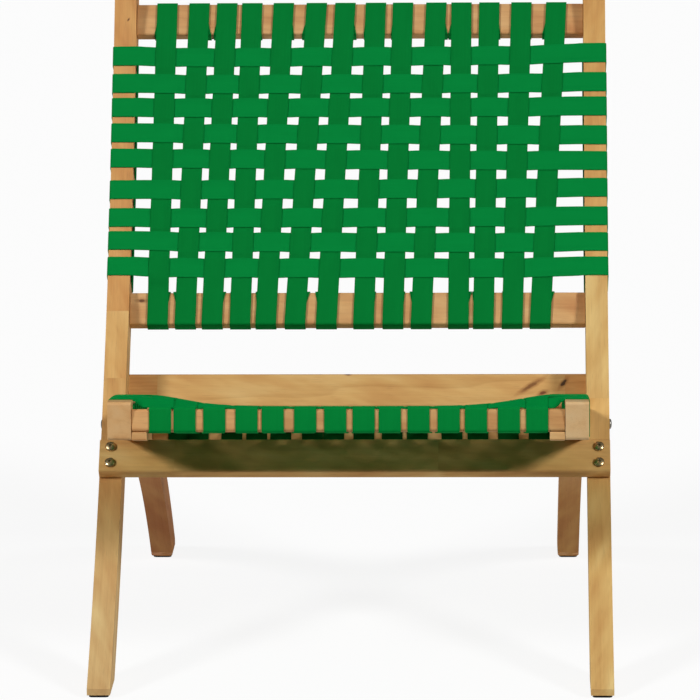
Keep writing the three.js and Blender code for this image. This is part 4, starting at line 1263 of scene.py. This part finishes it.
def cross_strap(panel, row):
    """A strap that goes round one side member, weaves through the long straps and goes round the other."""
    half = panel.side_depth / 2 + STRAP_LIFT
    outer = panel.outer + STRAP_LIFT
    inner = panel.clear - STRAP_LIFT

    def wrap(side):
        return [
            panel.round_side(row, side * inner, panel.side_tail - panel.side_depth / 2),
            panel.round_side(row, side * inner, -half),
            panel.round_side(row, side * outer, -half),
            panel.round_side(row, side * outer, half),
            panel.round_side(row, side * (panel.clear + EASED_EDGE), half),
        ]

    middle_distance = panel.row_distance(row, 0)
    crossings = [
        (panel.strap_x(column, middle_distance), panel.over(row, column) * WEAVE_OFFSET)
        for column in range(len(panel.first_shares))
    ]
    edge = panel.clear - EASED_EDGE / 2
    middle = [panel.across_panel(row, *spot) for spot in weave(crossings, -edge, edge)]
    return soften(wrap(-1) + middle + wrap(1)[::-1])


def soften(stations):
    """Round every corner of a path of stations, each a row of points across the strap."""
    path = [stations[0]]
    for before, here, after in zip(stations, stations[1:], stations[2:]):
        arriving, leaving = here[MIDDLE] - before[MIDDLE], after[MIDDLE] - here[MIDDLE]
        if arriving.angle(leaving, 0) < STRAIGHT_TURN:
            path.append(here)
            continue
        back = min(STRAP_CORNER, arriving.length * CORNER_SHARE) / arriving.length
        ahead = min(STRAP_CORNER, leaving.length * CORNER_SHARE) / leaving.length
        for step in range(SOFTEN_STEPS + 1):
            share = step / SOFTEN_STEPS
            path.append([
                here_point.lerp(before_point, back) * (1 - share) ** 2
                + here_point * (2 * share * (1 - share))
                + here_point.lerp(after_point, ahead) * share ** 2
                for before_point, here_point, after_point in zip(before, here, after)
            ])
    path.append(stations[-1])
    return path


def ribbon(name, stations, panel, material, rests_on):
    """A flat strap laid through its stations, with its own map: across and along, in metres."""
    lengths = [0]
    for before, here in zip(stations, stations[1:]):
        lengths.append(lengths[-1] + (here[MIDDLE] - before[MIDDLE]).length)
    steps, columns = len(stations) - 1, len(COLUMNS) - 1
    bm = bmesh.new()
    bmesh.ops.create_grid(bm, x_segments=steps, y_segments=columns, size=1)
    spots = {
        vertex: (round((vertex.co.x + 1) / 2 * steps), round((vertex.co.y + 1) / 2 * columns))
        for vertex in bm.verts
    }
    strap_map = bm.loops.layers.uv.new("strap")
    for face in bm.faces:
        for loop in face.loops:
            step, column = spots[loop.vert]
            loop[strap_map].uv = ((COLUMNS[column] + 0.5) * WEBBING_WIDTH, lengths[step])
    for vertex, (step, column) in spots.items():
        vertex.co = stations[step][column]
    piece = mesh_object(name, bm)
    shade_smooth(piece.data)
    piece.data.materials.append(material)
    thick = piece.modifiers.new("thickness", "SOLIDIFY")
    thick.thickness = WEBBING_THICKNESS
    thick.offset = 0
    thick.use_even_offset = True
    edge = piece.modifiers.new("soft edges", "BEVEL")
    edge.width = WEBBING_THICKNESS / 4
    edge.segments = FINE_STEPS
    edge.limit_method = "ANGLE"
    edge.angle_limit = SQUARE_TURN
    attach(piece, panel.body)
    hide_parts(f"{panel.name}_webbing")
    list(rests_on)


for panel in (back_panel, seat_panel):
    for column in range(len(panel.first_shares)):
        name = f"{panel.name}_long_strap_{column + 1:02}"
        ribbon(name, long_strap(panel, column), panel, long_webbing[panel.name], panel.rails)
    for row in range(len(panel.rows)):
        name = f"{panel.name}_cross_strap_{row + 1:02}"
        ribbon(name, cross_strap(panel, row), panel, cross_webbing, panel.members)


# Floor, light and camera

def floor():
    """A pale floor, brighter to the camera than to the chair, that lets the low lamps through."""
    bm = bmesh.new()
    bmesh.ops.create_grid(bm, x_segments=1, y_segments=1, size=FLOOR_HALF_SIZE)
    ground = mesh_object("floor", bm)
    material, tree, shader = new_material("pale floor")
    seen = node(tree, "ShaderNodeLightPath").outputs["Is Camera Ray"]
    colour = blend_colours(tree, seen, FLOOR_AS_LIT, FLOOR_AS_SEEN)
    tree.links.new(colour, shader.inputs["Base Color"])
    tree.links.new(calculate(tree, "MULTIPLY", seen, FLOOR_GLOW), shader.inputs["Emission Strength"])
    shader.inputs["Emission Color"].default_value = WHITE
    shader.inputs["Roughness"].default_value = 1
    shader.inputs["Specular IOR Level"].default_value = 0
    ground.data.materials.append(material)
    ground.visible_shadow = False


def lamp(name, azimuth, elevation, strength, spread):
    """A wide, far lamp, its azimuth counted from straight in front of the chair towards +X."""
    light = bpy.data.lights.new(name, "SUN")
    light.energy = strength
    light.angle = radians(spread)
    turn, rise = radians(azimuth), radians(elevation)
    towards = Vector((sin(turn) * cos(rise), -cos(turn) * cos(rise), sin(rise)))
    place_object(name, light).rotation_euler = towards.to_track_quat("Z", "Y").to_euler()


def lights():
    world = bpy.data.worlds.new("soft room")
    world.use_nodes = True
    backdrop = world.node_tree.nodes["Background"].inputs
    backdrop["Color"].default_value = WHITE
    backdrop["Strength"].default_value = ROOM_LIGHT
    bpy.context.scene.world = world
    for values in LAMPS:
        lamp(*values)


def camera():
    data = bpy.data.cameras.new("camera")
    data.lens = CAMERA_LENS
    data.sensor_width = CAMERA_SENSOR
    data.clip_end = CAMERA_REACH
    level = cos(CAMERA_ELEVATION)
    forward = Vector((-sin(CAMERA_TURN) * level, cos(CAMERA_TURN) * level, -sin(CAMERA_ELEVATION)))
    level_right = Vector((cos(CAMERA_TURN), sin(CAMERA_TURN), 0))
    level_up = level_right.cross(forward)
    right = level_right * cos(CAMERA_ROLL) + level_up * sin(CAMERA_ROLL)
    up = level_up * cos(CAMERA_ROLL) - level_right * sin(CAMERA_ROLL)
    turned = Matrix((right, up, -forward)).transposed().to_4x4()
    eye = place_object("camera", data)
    eye.matrix_world = Matrix.Translation(CAMERA_AIM - forward * CAMERA_DISTANCE) @ turned
    bpy.context.scene.camera = eye


floor()
lights()
camera()
bpy.context.scene.view_settings.view_transform = "Standard"
bpy.context.scene.view_settings.look = "None"
